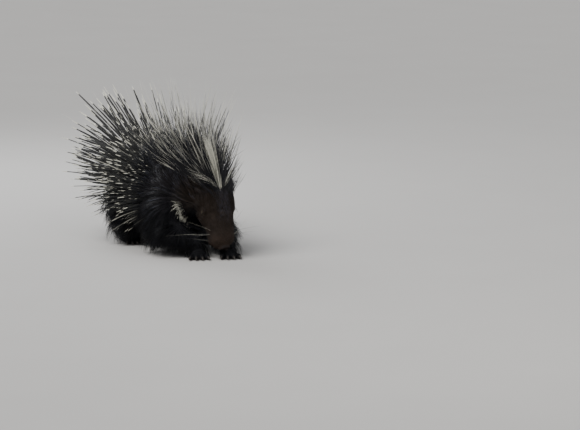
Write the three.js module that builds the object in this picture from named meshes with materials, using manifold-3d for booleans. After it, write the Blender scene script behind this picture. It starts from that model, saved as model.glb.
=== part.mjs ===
import * as THREE from "three";
import { mergeVertices } from "three/addons/utils/BufferGeometryUtils.js";
import Module from "manifold-3d";

// A crested porcupine at life size. It stands on four feet with its head bent down between its forepaws
// and its quills raised in a fan. Millimetres: +X is the way it faces, +Y its left, +Z up, soles at 0.
// Sizes are to the outside of the lying coat. The quills and the crest stand on it as spiked masses.

const GAP = 0.4; // between two parts that meet

// Trunk, from rump to chest: x, height of its middle line, half width, rise above it and drop below it
const TRUNK = [
  { x: -268, z: 142, wide: 56, up: 66, down: 64 },
  { x: -215, z: 142, wide: 94, up: 104, down: 104 },
  { x: -130, z: 140, wide: 120, up: 126, down: 114 },
  { x: -40, z: 138, wide: 122, up: 126, down: 114 },
  { x: 45, z: 134, wide: 116, up: 116, down: 110 },
  { x: 110, z: 130, wide: 104, up: 102, down: 104 },
  { x: 162, z: 128, wide: 80, up: 78, down: 84 },
];
const TRUNK_SQUARE = { up: 2.1, down: 2.9 }; // fuller below, where the coat hangs down the flanks
const TRUNK_CUTS = [-118, 42]; // where rump, belly and chest part

// Head: back from the nose, half width, rise to the brow side, drop to the jaw side, squareness
const HEAD_LENGTH = 188;
const HEAD = [
  { back: 0, wide: 31, up: 24, down: 21, square: 2.7 },
  { back: 20, wide: 38, up: 33, down: 30, square: 2.6 },
  { back: 50, wide: 39, up: 39, down: 37, square: 2.4 },
  { back: 80, wide: 44, up: 44, down: 45, square: 2.2 },
  { back: 112, wide: 51, up: 48, down: 54, square: 2.1 },
  { back: 146, wide: 55, up: 50, down: 61, square: 2.0 },
  { back: HEAD_LENGTH, wide: 50, up: 44, down: 60, square: 2.0 },
];
const NOSE = new THREE.Vector3(249, 20, 29); // the muzzle's front end
const HEAD_LEAN = 17; // degrees that the head leans back from straight up
const HEAD_TURN = 3; // degrees that it is turned to its left
const NECK = { start: [60, 0, 156], bend: [150, 2, 176], back: 138, drop: -6 };
const NECK_SIZES = { wide: [90, 58], up: [82, 54], down: [90, 58] };

// Features of the head, by distance back from the nose, aside of the middle and rise to the brow side
const EYE = { back: 105, aside: 42, rise: 5, radius: 7.6 };
const EAR = { back: 164, aside: 50, rise: 6, tall: 19, wide: 14, thick: 7, turn: 36 };
const NOSE_PAD = { back: 2, rise: 8, wide: 17, tall: 12, thick: 7 };
const NOSTRIL = { aside: 9.5, rise: 8, wide: 2.4, tall: 3.4 };
const MOUTH = { back: 22, rise: -28, wide: 24, open: 2, deep: 9 };
const WHISKERS = { back: 34, aside: 33, rise: 2, count: 6, long: 182, droop: 24, slope: 0.24 };

// Limbs: points of each line from shoulder or hip down, and where each foot stands and points
const ARM = {
  left: { line: [[96, 64, 120], [108, 70, 78], [164, 54, 56], [220, 50, 30]], at: [246, 43], turn: -22 },
  right: { line: [[88, -68, 120], [98, -84, 78], [150, -70, 56], [190, -34, 30]], at: [214, -38], turn: -24 },
};
const ARM_RADII = [54, 46, 34, 25];
const THIGH = {
  left: {
    line: [[-136, 72, 118], [-82, 84, 78], [-120, 86, 48], [-136, 84, 26]],
    at: [-98, 86],
    turn: 7,
  },
  right: {
    line: [[-152, -72, 118], [-98, -84, 78], [-136, -86, 48], [-152, -84, 26]],
    at: [-114, -86],
    turn: -7,
  },
};
const THIGH_RADII = [68, 54, 32, 22];
const CAPSULE_DOME = 0.8; // height of a limb's rounded joints, in shares of their radius
const FOREPAW = { long: 60, wide: 46, tall: 30, toes: 4, toeLong: 19, toeRadius: 8, spread: 12 };
const HINDFOOT = { long: 88, wide: 46, tall: 31, toes: 5, toeLong: 17, toeRadius: 7.6, spread: 10 };
const CLAW = { long: 17, radius: 3.6 };
const TAIL = { long: 96, radius: 30, drop: 46 };

// Quill fan: rows of spikes over back and flanks. A quill's stand is how far it rises along the coat's normal for
// each length that it runs back, at its root and at its tip, on top of the back and low down.
const QUILL_ROWS = 8;
const QUILL_FRONT = 6;
const QUILL_BACK = -246;
const QUILLS_ACROSS = 8;
const QUILL_REACH = 112; // degrees down each side from the top of the back
const QUILL = { topLong: 256, sideLong: 170, rootStand: [1.0, 0.95], tipStand: [0.62, 0.85], droop: 0.5 };
const SPIKE_RADIUS = 18;
const FAN_LIFT = 24; // thickness of the closed mass at the fan's foot
const WHIPS = [
  { x: -196, angle: -24, long: 266, stand: 1.35, radius: 13 },
  { x: -176, angle: 2, long: 270, stand: 1.45, radius: 13 },
  { x: -150, angle: -50, long: 262, stand: 0.75 },
  { x: -120, angle: -84, long: 214, stand: 0.5 },
  { x: -40, angle: 6, long: 262, stand: 1.9 },
  { x: -80, angle: 58, long: 240, stand: 1.0 },
  { x: -150, angle: 88, long: 214, stand: 0.5 },
];
const RATTLE = { count: 7, long: 62, radius: 9, spread: 24 };

// Crest: long bristles from the crown over the nape to the withers
const CREST_ROWS = 5;
const CREST_ACROSS = 5;
const CREST_LONG = [152, 250];
const CREST_LEAN = [23, 14];
const CREST_FAN = [25, 19];
const CREST_HALF_WIDTH = [14, 54];
const CREST_RADIUS = 13;

const RAD = Math.PI / 180;
const FAR = 900;
const SIDES = { left: 1, right: -1 };
const LEFT = new THREE.Vector3(0, 1, 0);
const { lerp, clamp, smoothstep } = THREE.MathUtils;

const wasm = await Module();
wasm.setup();

// A closed geometry as a solid that can be cut and joined.
function solidOf(geometry) {
  const bare = geometry.clone();
  bare.deleteAttribute("normal");
  bare.deleteAttribute("uv");
  const merged = mergeVertices(bare, 1e-4);
  return new wasm.Manifold(
    new wasm.Mesh({
      numProp: 3,
      vertProperties: new Float32Array(merged.attributes.position.array),
      triVerts: new Uint32Array(merged.index.array),
    }),
  );
}

// The solid's vertices and triangles as a geometry.
function geometryOf(solid) {
  const mesh = solid.getMesh();
  const geometry = new THREE.BufferGeometry();
  geometry.setAttribute("position", new THREE.BufferAttribute(new Float32Array(mesh.vertProperties), 3));
  geometry.setIndex(new THREE.BufferAttribute(new Uint32Array(mesh.triVerts), 1));
  geometry.computeVertexNormals();
  return geometry;
}

// The largest of a solid's separate bodies, without the slivers that a cut can leave.
const mainBody = (solid) => solid.decompose().reduce((a, b) => (a.volume() > b.volume() ? a : b));
const joined = (solids) => solids.reduce((a, b) => a.add(b));
const without = (solid, cutters) => cutters.reduce((a, b) => a.subtract(b), solid);

// A smooth function through rows of sizes, whose slope at each row comes from that row's neighbours.
function smooth(rows, key, value) {
  const slope = (i) => {
    const a = rows[Math.max(i - 1, 0)];
    const b = rows[Math.min(i + 1, rows.length - 1)];
    return (b[value] - a[value]) / (b[key] - a[key]);
  };
  return (at) => {
    let i = 1;
    while (i < rows.length - 1 && at > rows[i][key]) i++;
    const span = rows[i][key] - rows[i - 1][key];
    const t = clamp((at - rows[i - 1][key]) / span, 0, 1);
    const [t2, t3] = [t * t, t * t * t];
    return (
      (2 * t3 - 3 * t2 + 1) * rows[i - 1][value] +
      (t3 - 2 * t2 + t) * span * slope(i - 1) +
      (3 * t2 - 2 * t3) * rows[i][value] +
      (t3 - t2) * span * slope(i)
    );
  };
}

// A closed body carried along a line. middle(t) is a point of the line and section(t) the half width, rise,
// drop and squareness (2 is an ellipse) of the ring there. Its ends round off over the shares start and end.
function carried({ middle, section, around, rings, start = 0.1, end = 0.1, grow = 0 }) {
  const geometry = new THREE.SphereGeometry(1, around, rings);
  const position = geometry.attributes.position;
  const step = 1e-3;
  for (let row = 0; row <= rings; row++) {
    const t = 0.5 - 0.5 * Math.cos((Math.PI * row) / rings);
    const tangent = middle(Math.min(t + step, 1)).sub(middle(Math.max(t - step, 0))).normalize();
    const left = LEFT.clone().addScaledVector(tangent, -LEFT.dot(tangent)).normalize();
    const up = tangent.clone().cross(left);
    const centre = middle(t).addScaledVector(tangent, grow * (2 * t - 1));
    const inward = Math.min(t / start, (1 - t) / end, 1);
    const round = Math.sqrt(Math.max(0, 1 - (1 - inward) ** 2));
    const ring = section(t);
    const extra = grow * (round > 0);
    for (let column = 0; column <= around; column++) {
      const angle = (2 * Math.PI * (column % around)) / around;
      const [c, s] = [-Math.cos(angle), Math.sin(angle)];
      const tall = s > 0 ? ring.up : ring.down;
      const power = 2 / ((s > 0 ? ring.square : ring.squareBelow ?? ring.square) ?? 2);
      const aside = Math.sign(c) * Math.abs(c) ** power * (ring.wide * round + extra);
      const rise = Math.sign(s) * Math.abs(s) ** power * (tall * round + extra);
      const at = centre.clone().addScaledVector(left, aside).addScaledVector(up, rise);
      position.setXYZ(row * (around + 1) + column, at.x, at.y, at.z);
    }
  }
  return solidOf(geometry);
}

// The part of a solid between two values of x, y or z.
function between(solid, axis, low, high) {
  const size = { x: 2 * FAR, y: 2 * FAR, z: 2 * FAR, [axis]: high - low };
  const shift = { x: 0, y: 0, z: 0, [axis]: (low + high) / 2 };
  const box = new THREE.BoxGeometry(size.x, size.y, size.z).translate(shift.x, shift.y, shift.z);
  return solid.intersect(solidOf(box));
}
const aboveFloor = (solid) => between(solid, "z", 0, FAR);

// Trunk
function sizesOf(rows, key, values) {
  return Object.fromEntries(values.map((value) => [value, smooth(rows, key, value)]));
}
const trunkSize = sizesOf(TRUNK, "x", ["z", "wide", "up", "down"]);
const [TRUNK_REAR, TRUNK_FRONT] = [TRUNK[0].x, TRUNK[TRUNK.length - 1].x];
function trunkBody(grow, around = 18, rings = 12) {
  const x = (t) => lerp(TRUNK_REAR, TRUNK_FRONT, t);
  return carried({
    middle: (t) => new THREE.Vector3(x(t), 0, trunkSize.z(x(t))),
    section: (t) => ({
      wide: trunkSize.wide(x(t)),
      up: trunkSize.up(x(t)),
      down: trunkSize.down(x(t)),
      square: TRUNK_SQUARE.up,
      squareBelow: TRUNK_SQUARE.down,
    }),
    around,
    rings,
    start: 0.08,
    end: 0.1,
    grow,
  });
}

// The trunk's surface point and outward normal at x, by the angle from the top, positive to the left.
function onTrunk(x, angle) {
  const [c, s] = [Math.cos(angle * RAD), Math.sin(angle * RAD)];
  const tall = c > 0 ? trunkSize.up(x) : trunkSize.down(x);
  const wide = trunkSize.wide(x);
  const point = new THREE.Vector3(x, s * wide, trunkSize.z(x) + c * tall);
  return { point, normal: new THREE.Vector3(0, s / wide, c / tall).normalize() };
}

// Head frame: X runs back from the nose, Y to the animal's right and Z out of the brow side
const lean = HEAD_LEAN * RAD;
const headFrame = new THREE.Matrix4()
  .makeTranslation(NOSE)
  .multiply(new THREE.Matrix4().makeRotationZ(HEAD_TURN * RAD))
  .multiply(
    new THREE.Matrix4().makeBasis(
      new THREE.Vector3(-Math.sin(lean), 0, Math.cos(lean)),
      new THREE.Vector3(0, -1, 0),
      new THREE.Vector3(Math.cos(lean), 0, Math.sin(lean)),
    ),
  );
const onHead = (back, aside, rise) => new THREE.Vector3(back, -aside, rise).applyMatrix4(headFrame);

const headSize = sizesOf(HEAD, "back", ["wide", "up", "down", "square"]);
function headBody(grow) {
  const back = (t) => HEAD_LENGTH * (1 - t);
  return carried({
    middle: (t) => onHead(back(t), 0, 0),
    section: (t) => Object.fromEntries(Object.entries(headSize).map(([key, size]) => [key, size(back(t))])),
    around: 16,
    rings: 13,
    start: 0.22,
    end: 0.1,
    grow,
  });
}

function neckBody(grow) {
  const start = new THREE.Vector3(...NECK.start);
  const bend = new THREE.Vector3(...NECK.bend);
  const line = new THREE.QuadraticBezierCurve3(start, bend, onHead(NECK.back, 0, NECK.drop));
  return carried({
    middle: (t) => line.getPoint(t),
    section: (t) => ({
      wide: lerp(...NECK_SIZES.wide, t),
      up: lerp(...NECK_SIZES.up, t),
      down: lerp(...NECK_SIZES.down, t),
    }),
    around: 12,
    rings: 7,
    start: 0.2,
    end: 0.25,
    grow,
  });
}

// An ellipsoid on the head, with half sizes along its back, aside and rise directions, turned about the rise.
function headEllipsoid(back, aside, rise, sizes, turn = 0, around = 10, rings = 7) {
  const place = headFrame
    .clone()
    .multiply(new THREE.Matrix4().makeTranslation(back, -aside, rise))
    .multiply(new THREE.Matrix4().makeRotationZ(turn * RAD))
    .scale(new THREE.Vector3(...sizes));
  return solidOf(new THREE.SphereGeometry(1, around, rings).applyMatrix4(place));
}

function eyeBody(side, grow) {
  const r = EYE.radius + grow;
  return headEllipsoid(EYE.back, side * EYE.aside, EYE.rise, [r, r, r], 0, 10, 6);
}

// A cupped ear: a flat oval that stands out and back from the head, hollowed on its front face.
function earBody(side, grow) {
  const [tall, wide, thick] = [EAR.tall + grow, EAR.wide + grow, EAR.thick + grow];
  const turn = -side * EAR.turn;
  const shell = headEllipsoid(EAR.back, side * EAR.aside, EAR.rise, [tall, thick, wide], turn, 8, 6);
  if (grow > 0) return shell;
  const bowl = [tall * 0.74, thick * 0.8, wide * 0.7];
  const hollow = headEllipsoid(EAR.back - 5, side * (EAR.aside + 6.5), EAR.rise + 2, bowl, turn, 6, 5);
  return shell.subtract(hollow);
}

function nosePadBody(grow) {
  const { back, rise, wide, tall, thick } = NOSE_PAD;
  const pad = headEllipsoid(back, 0, rise, [thick + grow, wide + grow, tall + grow], 0, 8, 6);
  if (grow > 0) return pad;
  const holes = [1, -1].map((side) =>
    headEllipsoid(-4, side * NOSTRIL.aside, NOSTRIL.rise, [3.6, NOSTRIL.wide, NOSTRIL.tall], 0, 5, 4),
  );
  return without(pad, holes);
}

const mouthSlit = () =>
  headEllipsoid(MOUTH.back, 0, MOUTH.rise, [MOUTH.open, MOUTH.wide, MOUTH.deep], 0, 10, 5);

// Whiskers: thin tapered hairs that spread from one low pad on the side of the muzzle.
function whiskerBody(side) {
  const { back, aside, rise, count, long, droop, slope } = WHISKERS;
  const hairs = [headEllipsoid(back, side * (aside + 2), rise, [14, 7, 13], 0, 6, 5)];
  for (let i = 0; i < count; i++) {
    const share = i / (count - 1);
    const root = onHead(back - 8 + 16 * share, side * aside, rise + 8 * Math.cos(4 * i));
    const far = onHead(back + lerp(-6, 70, share), side * (aside + 90), rise - 30);
    const out = far.sub(onHead(back, side * aside, rise));
    out.z -= droop * (1 - share);
    out.normalize();
    out.z = Math.max(out.z, -slope);
    hairs.push(rod(root, out.normalize(), long * (0.7 + 0.3 * Math.sin(1 + 2 * i)), 1.0, 0.35));
  }
  return joined(hairs);
}

// A straight tapered rod or spike from root along direction, with its foot sunk a little behind the root.
function rod(root, direction, long, radius, tipRadius, sunk = 2) {
  const shape = new THREE.CylinderGeometry(tipRadius, radius, long + sunk, 3, 1);
  shape.translate(0, (long + sunk) / 2 - sunk, 0);
  const turn = new THREE.Quaternion().setFromUnitVectors(new THREE.Vector3(0, 1, 0), direction);
  return solidOf(shape.applyQuaternion(turn).translate(root.x, root.y, root.z));
}

// A tapered capsule: a low dome round each end, and the straight side between them.
function capsule(from, to, fromRadius, toRadius, around = 9, rings = 5) {
  const geometry = new THREE.SphereGeometry(1, around, rings).scale(1, CAPSULE_DOME, 1);
  const direction = to.clone().sub(from).normalize();
  geometry.applyQuaternion(new THREE.Quaternion().setFromUnitVectors(new THREE.Vector3(0, 1, 0), direction));
  const position = geometry.attributes.position;
  for (let i = 0; i < position.count; i++) {
    const onFar = Math.floor(i / (around + 1)) < rings / 2;
    const unit = new THREE.Vector3().fromBufferAttribute(position, i);
    const at = unit.multiplyScalar(onFar ? toRadius : fromRadius).add(onFar ? to : from);
    position.setXYZ(i, at.x, at.y, at.z);
  }
  return solidOf(geometry);
}

// A limb: capsules joined end to end through its points, each with its own radius.
function limbBody(points, radii, grow) {
  const at = points.map((point) => new THREE.Vector3(...point));
  const lengths = at.slice(1).map((to, i) => capsule(at[i], to, radii[i] + grow, radii[i + 1] + grow));
  return joined(lengths);
}

// A flat-soled foot round (x, y) that points along turn, with toes in a shallow arc, and its claws.
function footParts(size, [x, y], turn, grow) {
  const place = new THREE.Matrix4().makeRotationZ(turn * RAD).setPosition(x, y, 0);
  const at = (forward, aside, height) => new THREE.Vector3(forward, aside, height).applyMatrix4(place);
  const sole = carried({
    middle: (t) => at(size.long * (t - 0.5), 0, size.tall * (0.5 - 0.14 * t)),
    section: (t) => ({
      wide: (size.wide / 2) * (0.82 + 0.2 * t),
      up: size.tall * (0.6 - 0.14 * t),
      down: size.tall * 0.62,
      square: 2.3,
    }),
    around: 8,
    rings: 5,
    start: 0.25,
    end: 0.3,
    grow,
  });
  const toes = [];
  const claws = [];
  for (let i = 0; i < size.toes; i++) {
    const off = i - (size.toes - 1) / 2;
    const angle = off * size.spread * RAD;
    const root = [size.long / 2 - 9 - 1.8 * off * off, (off * size.wide * 0.88) / (size.toes - 1)];
    const along = (d, height) => at(root[0] + d * Math.cos(angle), root[1] + d * Math.sin(angle), height);
    const toe = carried({
      middle: (t) => along(t * size.toeLong, size.toeRadius * (1.15 - 0.25 * t)),
      section: () => ({ wide: 0.84 * size.toeRadius, up: size.toeRadius, down: 1.15 * size.toeRadius }),
      around: 5,
      rings: 4,
      start: 0.3,
      end: 0.35,
      grow,
    });
    toes.push(toe);
    const claw = carried({
      middle: (t) => along(size.toeLong - 5 + t * CLAW.long, size.toeRadius * 1.1 + 2.5 * t - 8 * t * t),
      section: (t) => {
        const r = CLAW.radius * (1 - 0.6 * t);
        return { wide: r * 0.85, up: r, down: r };
      },
      around: 4,
      rings: 3,
      start: 0.25,
      end: 0.25,
    });
    claws.push(claw);
  }
  return { foot: joined([sole, ...toes]), claws };
}

function tailBody(grow) {
  const root = new THREE.Vector3(TRUNK_REAR + 30, 0, 134);
  return carried({
    middle: (t) => root.clone().add(new THREE.Vector3(-TAIL.long * t, 0, -TAIL.drop * t * t)),
    section: (t) => {
      const r = TAIL.radius * (1 - 0.35 * t);
      return { wide: r, up: r * 0.9, down: r * 0.9 };
    },
    around: 10,
    rings: 6,
    start: 0.2,
    end: 0.3,
    grow,
  });
}

// The tail with the short thick quills that spread from its end.
function rattleTail() {
  const root = new THREE.Vector3(TRUNK_REAR + 30 - TAIL.long * 0.86, 0, 134 - TAIL.drop * 0.74);
  const quills = [];
  for (let i = 0; i < RATTLE.count; i++) {
    const round = (2 * Math.PI * i) / RATTLE.count;
    const spread = Math.tan(RATTLE.spread * RAD);
    const direction = new THREE.Vector3(-1, spread * Math.cos(round), spread * Math.sin(round) - 0.5);
    direction.normalize();
    quills.push(rod(root, direction, RATTLE.long, RATTLE.radius, 0));
  }
  return joined([tailBody(0), ...quills]);
}

// The way from a quill's root to its tip: back, with the stand that it has along the normal at each end, turned
// down towards the tip on the flanks, and drooping low down.
function quillDirection(normal, angle, rootStand, tipStand) {
  const low = smoothstep(Math.abs(angle), 72, 112);
  const back = new THREE.Vector3(-1, 0, 0);
  const start = normal.clone().multiplyScalar(rootStand).add(back);
  const end = normal.clone().multiplyScalar(tipStand).add(back);
  start.z -= 0.4 * QUILL.droop * low;
  end.z = end.z * lerp(1, 0.3, smoothstep(Math.abs(normal.y), 0.2, 0.8)) - QUILL.droop * low;
  return start.normalize().add(end.normalize()).normalize();
}

// The rows of quills, longest on the back behind the middle, and a few still longer thin ones.
function quillSpikes() {
  const spikes = [];
  for (let row = 0; row < QUILL_ROWS; row++) {
    const x = lerp(QUILL_FRONT, QUILL_BACK, row / (QUILL_ROWS - 1));
    for (let i = 0; i < QUILLS_ACROSS; i++) {
      const off = i + (row % 2 ? 0.25 : 0.75) - QUILLS_ACROSS / 2;
      const angle = (off / (QUILLS_ACROSS / 2)) * QUILL_REACH;
      const side = smoothstep(Math.abs(angle), 10, 80);
      const early = 1 - 0.22 * smoothstep(x, -90, QUILL_FRONT) - 0.2 * smoothstep(-x, 170, -QUILL_BACK);
      const uneven = 0.9 + 0.1 * Math.cos(7 * i + 3 * row);
      const long = lerp(QUILL.topLong, QUILL.sideLong, side) * early * uneven;
      const { point, normal } = onTrunk(x, angle);
      const ahead = lerp(1, 1.35, smoothstep(x, -150, QUILL_FRONT));
      const stands = [QUILL.rootStand, QUILL.tipStand].map((ends) => ahead * lerp(...ends, side));
      spikes.push(rod(point, quillDirection(normal, angle, ...stands), long, SPIKE_RADIUS, 0, 16));
    }
  }
  for (const { x, angle, long, stand, radius = 4 } of WHIPS) {
    const { point, normal } = onTrunk(x, angle);
    spikes.push(rod(point, quillDirection(normal, angle, 1.15 * stand, 0.85 * stand), long, radius, 0, 16));
  }
  return spikes;
}

// The closed foot of the fan: the trunk swollen by the fan's lift, over the back and flanks only.
function fanFoot() {
  const box = new THREE.BoxGeometry(300, 400, 300).rotateY(-9 * RAD).translate(-160, 0, 248);
  return trunkBody(FAN_LIFT, 14, 8).intersect(solidOf(box));
}

// The line that the crest stands on, from the crown over the nape to the withers
const crestLine = new THREE.CatmullRomCurve3([
  onHead(158, 0, 44),
  onHead(192, 0, 34),
  new THREE.Vector3(150, 4, 240),
  new THREE.Vector3(56, 0, 254),
]);

function crestSpikes() {
  const spikes = [];
  for (let row = 0; row < CREST_ROWS; row++) {
    const t = row / (CREST_ROWS - 1);
    const foot = crestLine.getPoint(t);
    const tilt = lerp(...CREST_LEAN, t) * RAD;
    for (let i = 0; i < CREST_ACROSS; i++) {
      const off = i - (CREST_ACROSS - 1) / 2;
      const share = off / ((CREST_ACROSS - 1) / 2);
      const fan = off * lerp(...CREST_FAN, t) * RAD;
      const direction = new THREE.Vector3(-Math.sin(tilt), Math.sin(fan), Math.cos(tilt) * Math.cos(fan));
      const aside = new THREE.Vector3(0, share * lerp(...CREST_HALF_WIDTH, t), -12 * share * share);
      const root = foot.clone().add(aside);
      const long = lerp(...CREST_LONG, t ** 0.8) * (0.92 + 0.08 * Math.cos(5 * i + 2 * row));
      spikes.push(rod(root, direction.normalize(), long, CREST_RADIUS, 0, 10));
    }
  }
  return spikes;
}

// A low ridge along the crest line that joins the crest's spikes.
const crestFoot = () =>
  carried({
    middle: (t) => crestLine.getPoint(t),
    section: (t) => ({ wide: lerp(14, 68, t), up: lerp(4, 18, t), down: 20 }),
    around: 6,
    rings: 5,
    start: 0.15,
    end: 0.15,
  });

const fur = new THREE.MeshStandardMaterial({ color: 0x1d1815, roughness: 0.6, metalness: 0 });
const faceFur = new THREE.MeshStandardMaterial({ color: 0x3a2c24, roughness: 0.75, metalness: 0 });
const bareSkin = new THREE.MeshStandardMaterial({ color: 0x2b2321, roughness: 0.7, metalness: 0 });
const eyeGloss = new THREE.MeshStandardMaterial({ color: 0x0b0807, roughness: 0.08, metalness: 0 });
const clawHorn = new THREE.MeshStandardMaterial({ color: 0x4a3f34, roughness: 0.45, metalness: 0 });
const quillHorn = new THREE.MeshStandardMaterial({ color: 0x8d8574, roughness: 0.4, metalness: 0 });
const crestHair = new THREE.MeshStandardMaterial({ color: 0x6e685f, roughness: 0.5, metalness: 0 });

const animal = new THREE.Group();
function addPart(name, solid, material) {
  const mesh = new THREE.Mesh(geometryOf(mainBody(solid)), material);
  mesh.name = name;
  animal.add(mesh);
}

// Cutters: solids grown by the gap, which others are cut back from
const trunkCutter = trunkBody(GAP);
const neckCutter = neckBody(GAP);
const headCutter = headBody(GAP);
const core = [trunkCutter, neckCutter, headCutter];

const trunk = without(trunkBody(0), [headCutter]);
const cutEnds = [-FAR, ...TRUNK_CUTS, FAR];
["rump", "belly", "chest"].forEach((name, i) => {
  addPart(name, between(trunk, "x", cutEnds[i] + GAP / 2, cutEnds[i + 1] - GAP / 2), fur);
});
addPart("neck", without(neckBody(0), [headCutter, trunkCutter]), fur);
addPart("head", without(headBody(0), [eyeBody(1, GAP), eyeBody(-1, GAP), mouthSlit()]), faceFur);
addPart("nose", without(nosePadBody(0), [headCutter]), bareSkin);
addPart("tail", without(rattleTail(), [trunkCutter]), fur);

const limbCutters = [];
for (const [side, sign] of Object.entries(SIDES)) {
  addPart(`eye_${side}`, eyeBody(sign, 0), eyeGloss);
  addPart(`ear_${side}`, without(earBody(sign, 0), core), bareSkin);
  addPart(`whiskers_${side}`, without(whiskerBody(sign), [headCutter]), crestHair);
  for (const [leg, foot, limb, radii, size] of [
    ["foreleg", "forepaw", ARM[side], ARM_RADII, FOREPAW],
    ["hindleg", "hindfoot", THIGH[side], THIGH_RADII, HINDFOOT],
  ]) {
    const limbCutter = limbBody(limb.line, radii, GAP);
    limbCutters.push(limbCutter);
    const parts = footParts(size, limb.at, limb.turn, 0);
    const footCutter = footParts(size, limb.at, limb.turn, GAP).foot;
    const blocked = [limbCutter, trunkCutter, headCutter, nosePadBody(GAP)];
    addPart(`${leg}_${side}`, aboveFloor(without(limbBody(limb.line, radii, 0), core)), fur);
    addPart(`${foot}_${side}`, aboveFloor(without(parts.foot, blocked)), bareSkin);
    parts.claws.forEach((claw, k) => {
      addPart(`${foot}_${side}_claw_${k + 1}`, without(claw, [footCutter]), clawHorn);
    });
  }
}

// The spiked masses are cut back from the flesh, then parted along the middle of the back
const flesh = [...core, earBody(1, GAP), earBody(-1, GAP), tailBody(GAP), ...limbCutters];
const fanMass = joined([fanFoot(), ...quillSpikes()]);
const fan = without(fanMass, flesh);
const crest = without(joined([crestFoot(), ...crestSpikes()]), [...flesh, fanMass]);
for (const [side, sign] of Object.entries(SIDES)) {
  const [low, high] = sign > 0 ? [GAP / 2, FAR] : [-FAR, -GAP / 2];
  addPart(`quills_${side}`, between(fan, "y", low, high), quillHorn);
  addPart(`crest_${side}`, between(crest, "y", low, high), crestHair);
}

// The origin is under the middle of the whole outline, at the level of the soles
const outline = new THREE.Box3().setFromObject(animal);
const middle = outline.getCenter(new THREE.Vector3());
animal.position.set(-middle.x, -middle.y, -outline.min.z);

export default animal;
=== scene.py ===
"""The visible model of a crested porcupine at life size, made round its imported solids.

One skin replaces every solid of flesh. Quills, crest, bristles, short fur and whiskers are solid strands over
it, joined into a few meshes. The animal's own places are in millimetres from ORIGIN, as on its solids: +X is
the way it faces, +Y its left, +Z up, soles at 0.
"""

import math
from functools import lru_cache

import bpy
import numpy as np
from bpy.props import FloatProperty, FloatVectorProperty, PointerProperty
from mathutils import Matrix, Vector


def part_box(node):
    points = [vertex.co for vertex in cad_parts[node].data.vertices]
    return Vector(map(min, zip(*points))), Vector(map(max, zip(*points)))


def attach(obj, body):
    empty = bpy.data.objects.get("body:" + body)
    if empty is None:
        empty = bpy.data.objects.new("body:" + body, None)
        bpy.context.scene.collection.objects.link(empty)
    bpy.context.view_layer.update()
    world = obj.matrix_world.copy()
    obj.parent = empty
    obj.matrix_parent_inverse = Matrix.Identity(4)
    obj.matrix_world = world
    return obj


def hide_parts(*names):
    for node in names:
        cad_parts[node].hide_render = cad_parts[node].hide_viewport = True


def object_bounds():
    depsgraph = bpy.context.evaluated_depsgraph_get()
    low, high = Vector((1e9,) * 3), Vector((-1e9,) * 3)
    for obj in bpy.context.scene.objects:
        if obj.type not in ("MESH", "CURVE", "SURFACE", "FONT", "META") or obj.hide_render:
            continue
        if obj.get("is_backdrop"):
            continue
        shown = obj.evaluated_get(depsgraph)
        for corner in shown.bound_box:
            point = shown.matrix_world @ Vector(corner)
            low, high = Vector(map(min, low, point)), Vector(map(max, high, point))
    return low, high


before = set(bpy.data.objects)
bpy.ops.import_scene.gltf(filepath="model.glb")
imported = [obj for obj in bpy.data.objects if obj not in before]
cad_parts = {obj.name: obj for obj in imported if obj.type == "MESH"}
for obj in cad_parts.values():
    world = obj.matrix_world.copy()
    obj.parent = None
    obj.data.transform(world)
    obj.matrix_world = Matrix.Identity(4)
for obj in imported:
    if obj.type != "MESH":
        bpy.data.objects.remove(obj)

bl_info = {
    "name": "Crested Porcupine",
    "version": (1, 0, 0),
    "blender": (4, 5, 0),
    "location": "View3D > Sidebar > Porcupine",
    "description": "Builds the skin, quills, crest and coat of a crested porcupine at life size",
    "category": "Add Mesh",
}

CAD_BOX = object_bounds()
MM = 0.001
SIDES = {"left": 1, "right": -1}
GAP = 0.4

# Trunk: x, height of its middle line, half width, rise above that line and drop below it
TRUNK = np.array(
    [
        (-268, 142, 56, 66, 64),
        (-215, 142, 94, 104, 104),
        (-130, 140, 120, 126, 114),
        (-40, 138, 122, 126, 114),
        (45, 134, 116, 116, 110),
        (110, 130, 104, 102, 104),
        (162, 128, 80, 78, 84),
    ],
    float,
)
TRUNK_SQUARE = (2.1, 2.9)
TRUNK_CAPS = (34, 43)
RUMP_CUT = -118

# The rump's solid ends at RUMP_CUT, and the two sides' quills part at the middle of the back
RUMP_END, QUILLS_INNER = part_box("rump")[1].x / MM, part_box("quills_left")[0].y / MM
ORIGIN = np.array([RUMP_END - RUMP_CUT + GAP / 2, QUILLS_INNER - GAP / 2, 0])

# Head: back from the nose, half width, rise to the brow side, drop to the jaw side, squareness
HEAD_LENGTH = 188
HEAD = np.array(
    [
        (0, 31, 24, 21, 2.7),
        (20, 38, 33, 30, 2.6),
        (50, 39, 39, 37, 2.4),
        (80, 44, 44, 45, 2.2),
        (112, 51, 48, 54, 2.1),
        (146, 55, 50, 61, 2.0),
        (HEAD_LENGTH, 50, 44, 60, 2.0),
    ],
    float,
)
HEAD_CAPS = (19, 41)
NOSE = np.array([249, 20, 29], float)
HEAD_LEAN = 17
HEAD_TURN = 3
NECK = ((60, 0, 156), (150, 2, 176))
NECK_AT_HEAD = (138, 0, -6)
NECK_RADII = (88, 57)

# Features of the head, by distance back from the nose, aside of the middle and rise to the brow side
EYE = np.array([105, 42, 5], float)
EYE_RADIUS = 7.6
GAZE = (-0.1, 1, 0.22)
CORNEA = 0.07  # how far the eye bulges where it looks out, as a share of its radius
MUZZLE_LENGTH = 78
EAR = np.array([164, 50, 6], float)
EAR_SIZE = (19, 7, 14)
EAR_TURN = 36
WHISKER_PAD = np.array([34, 33, 2], float)

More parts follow.
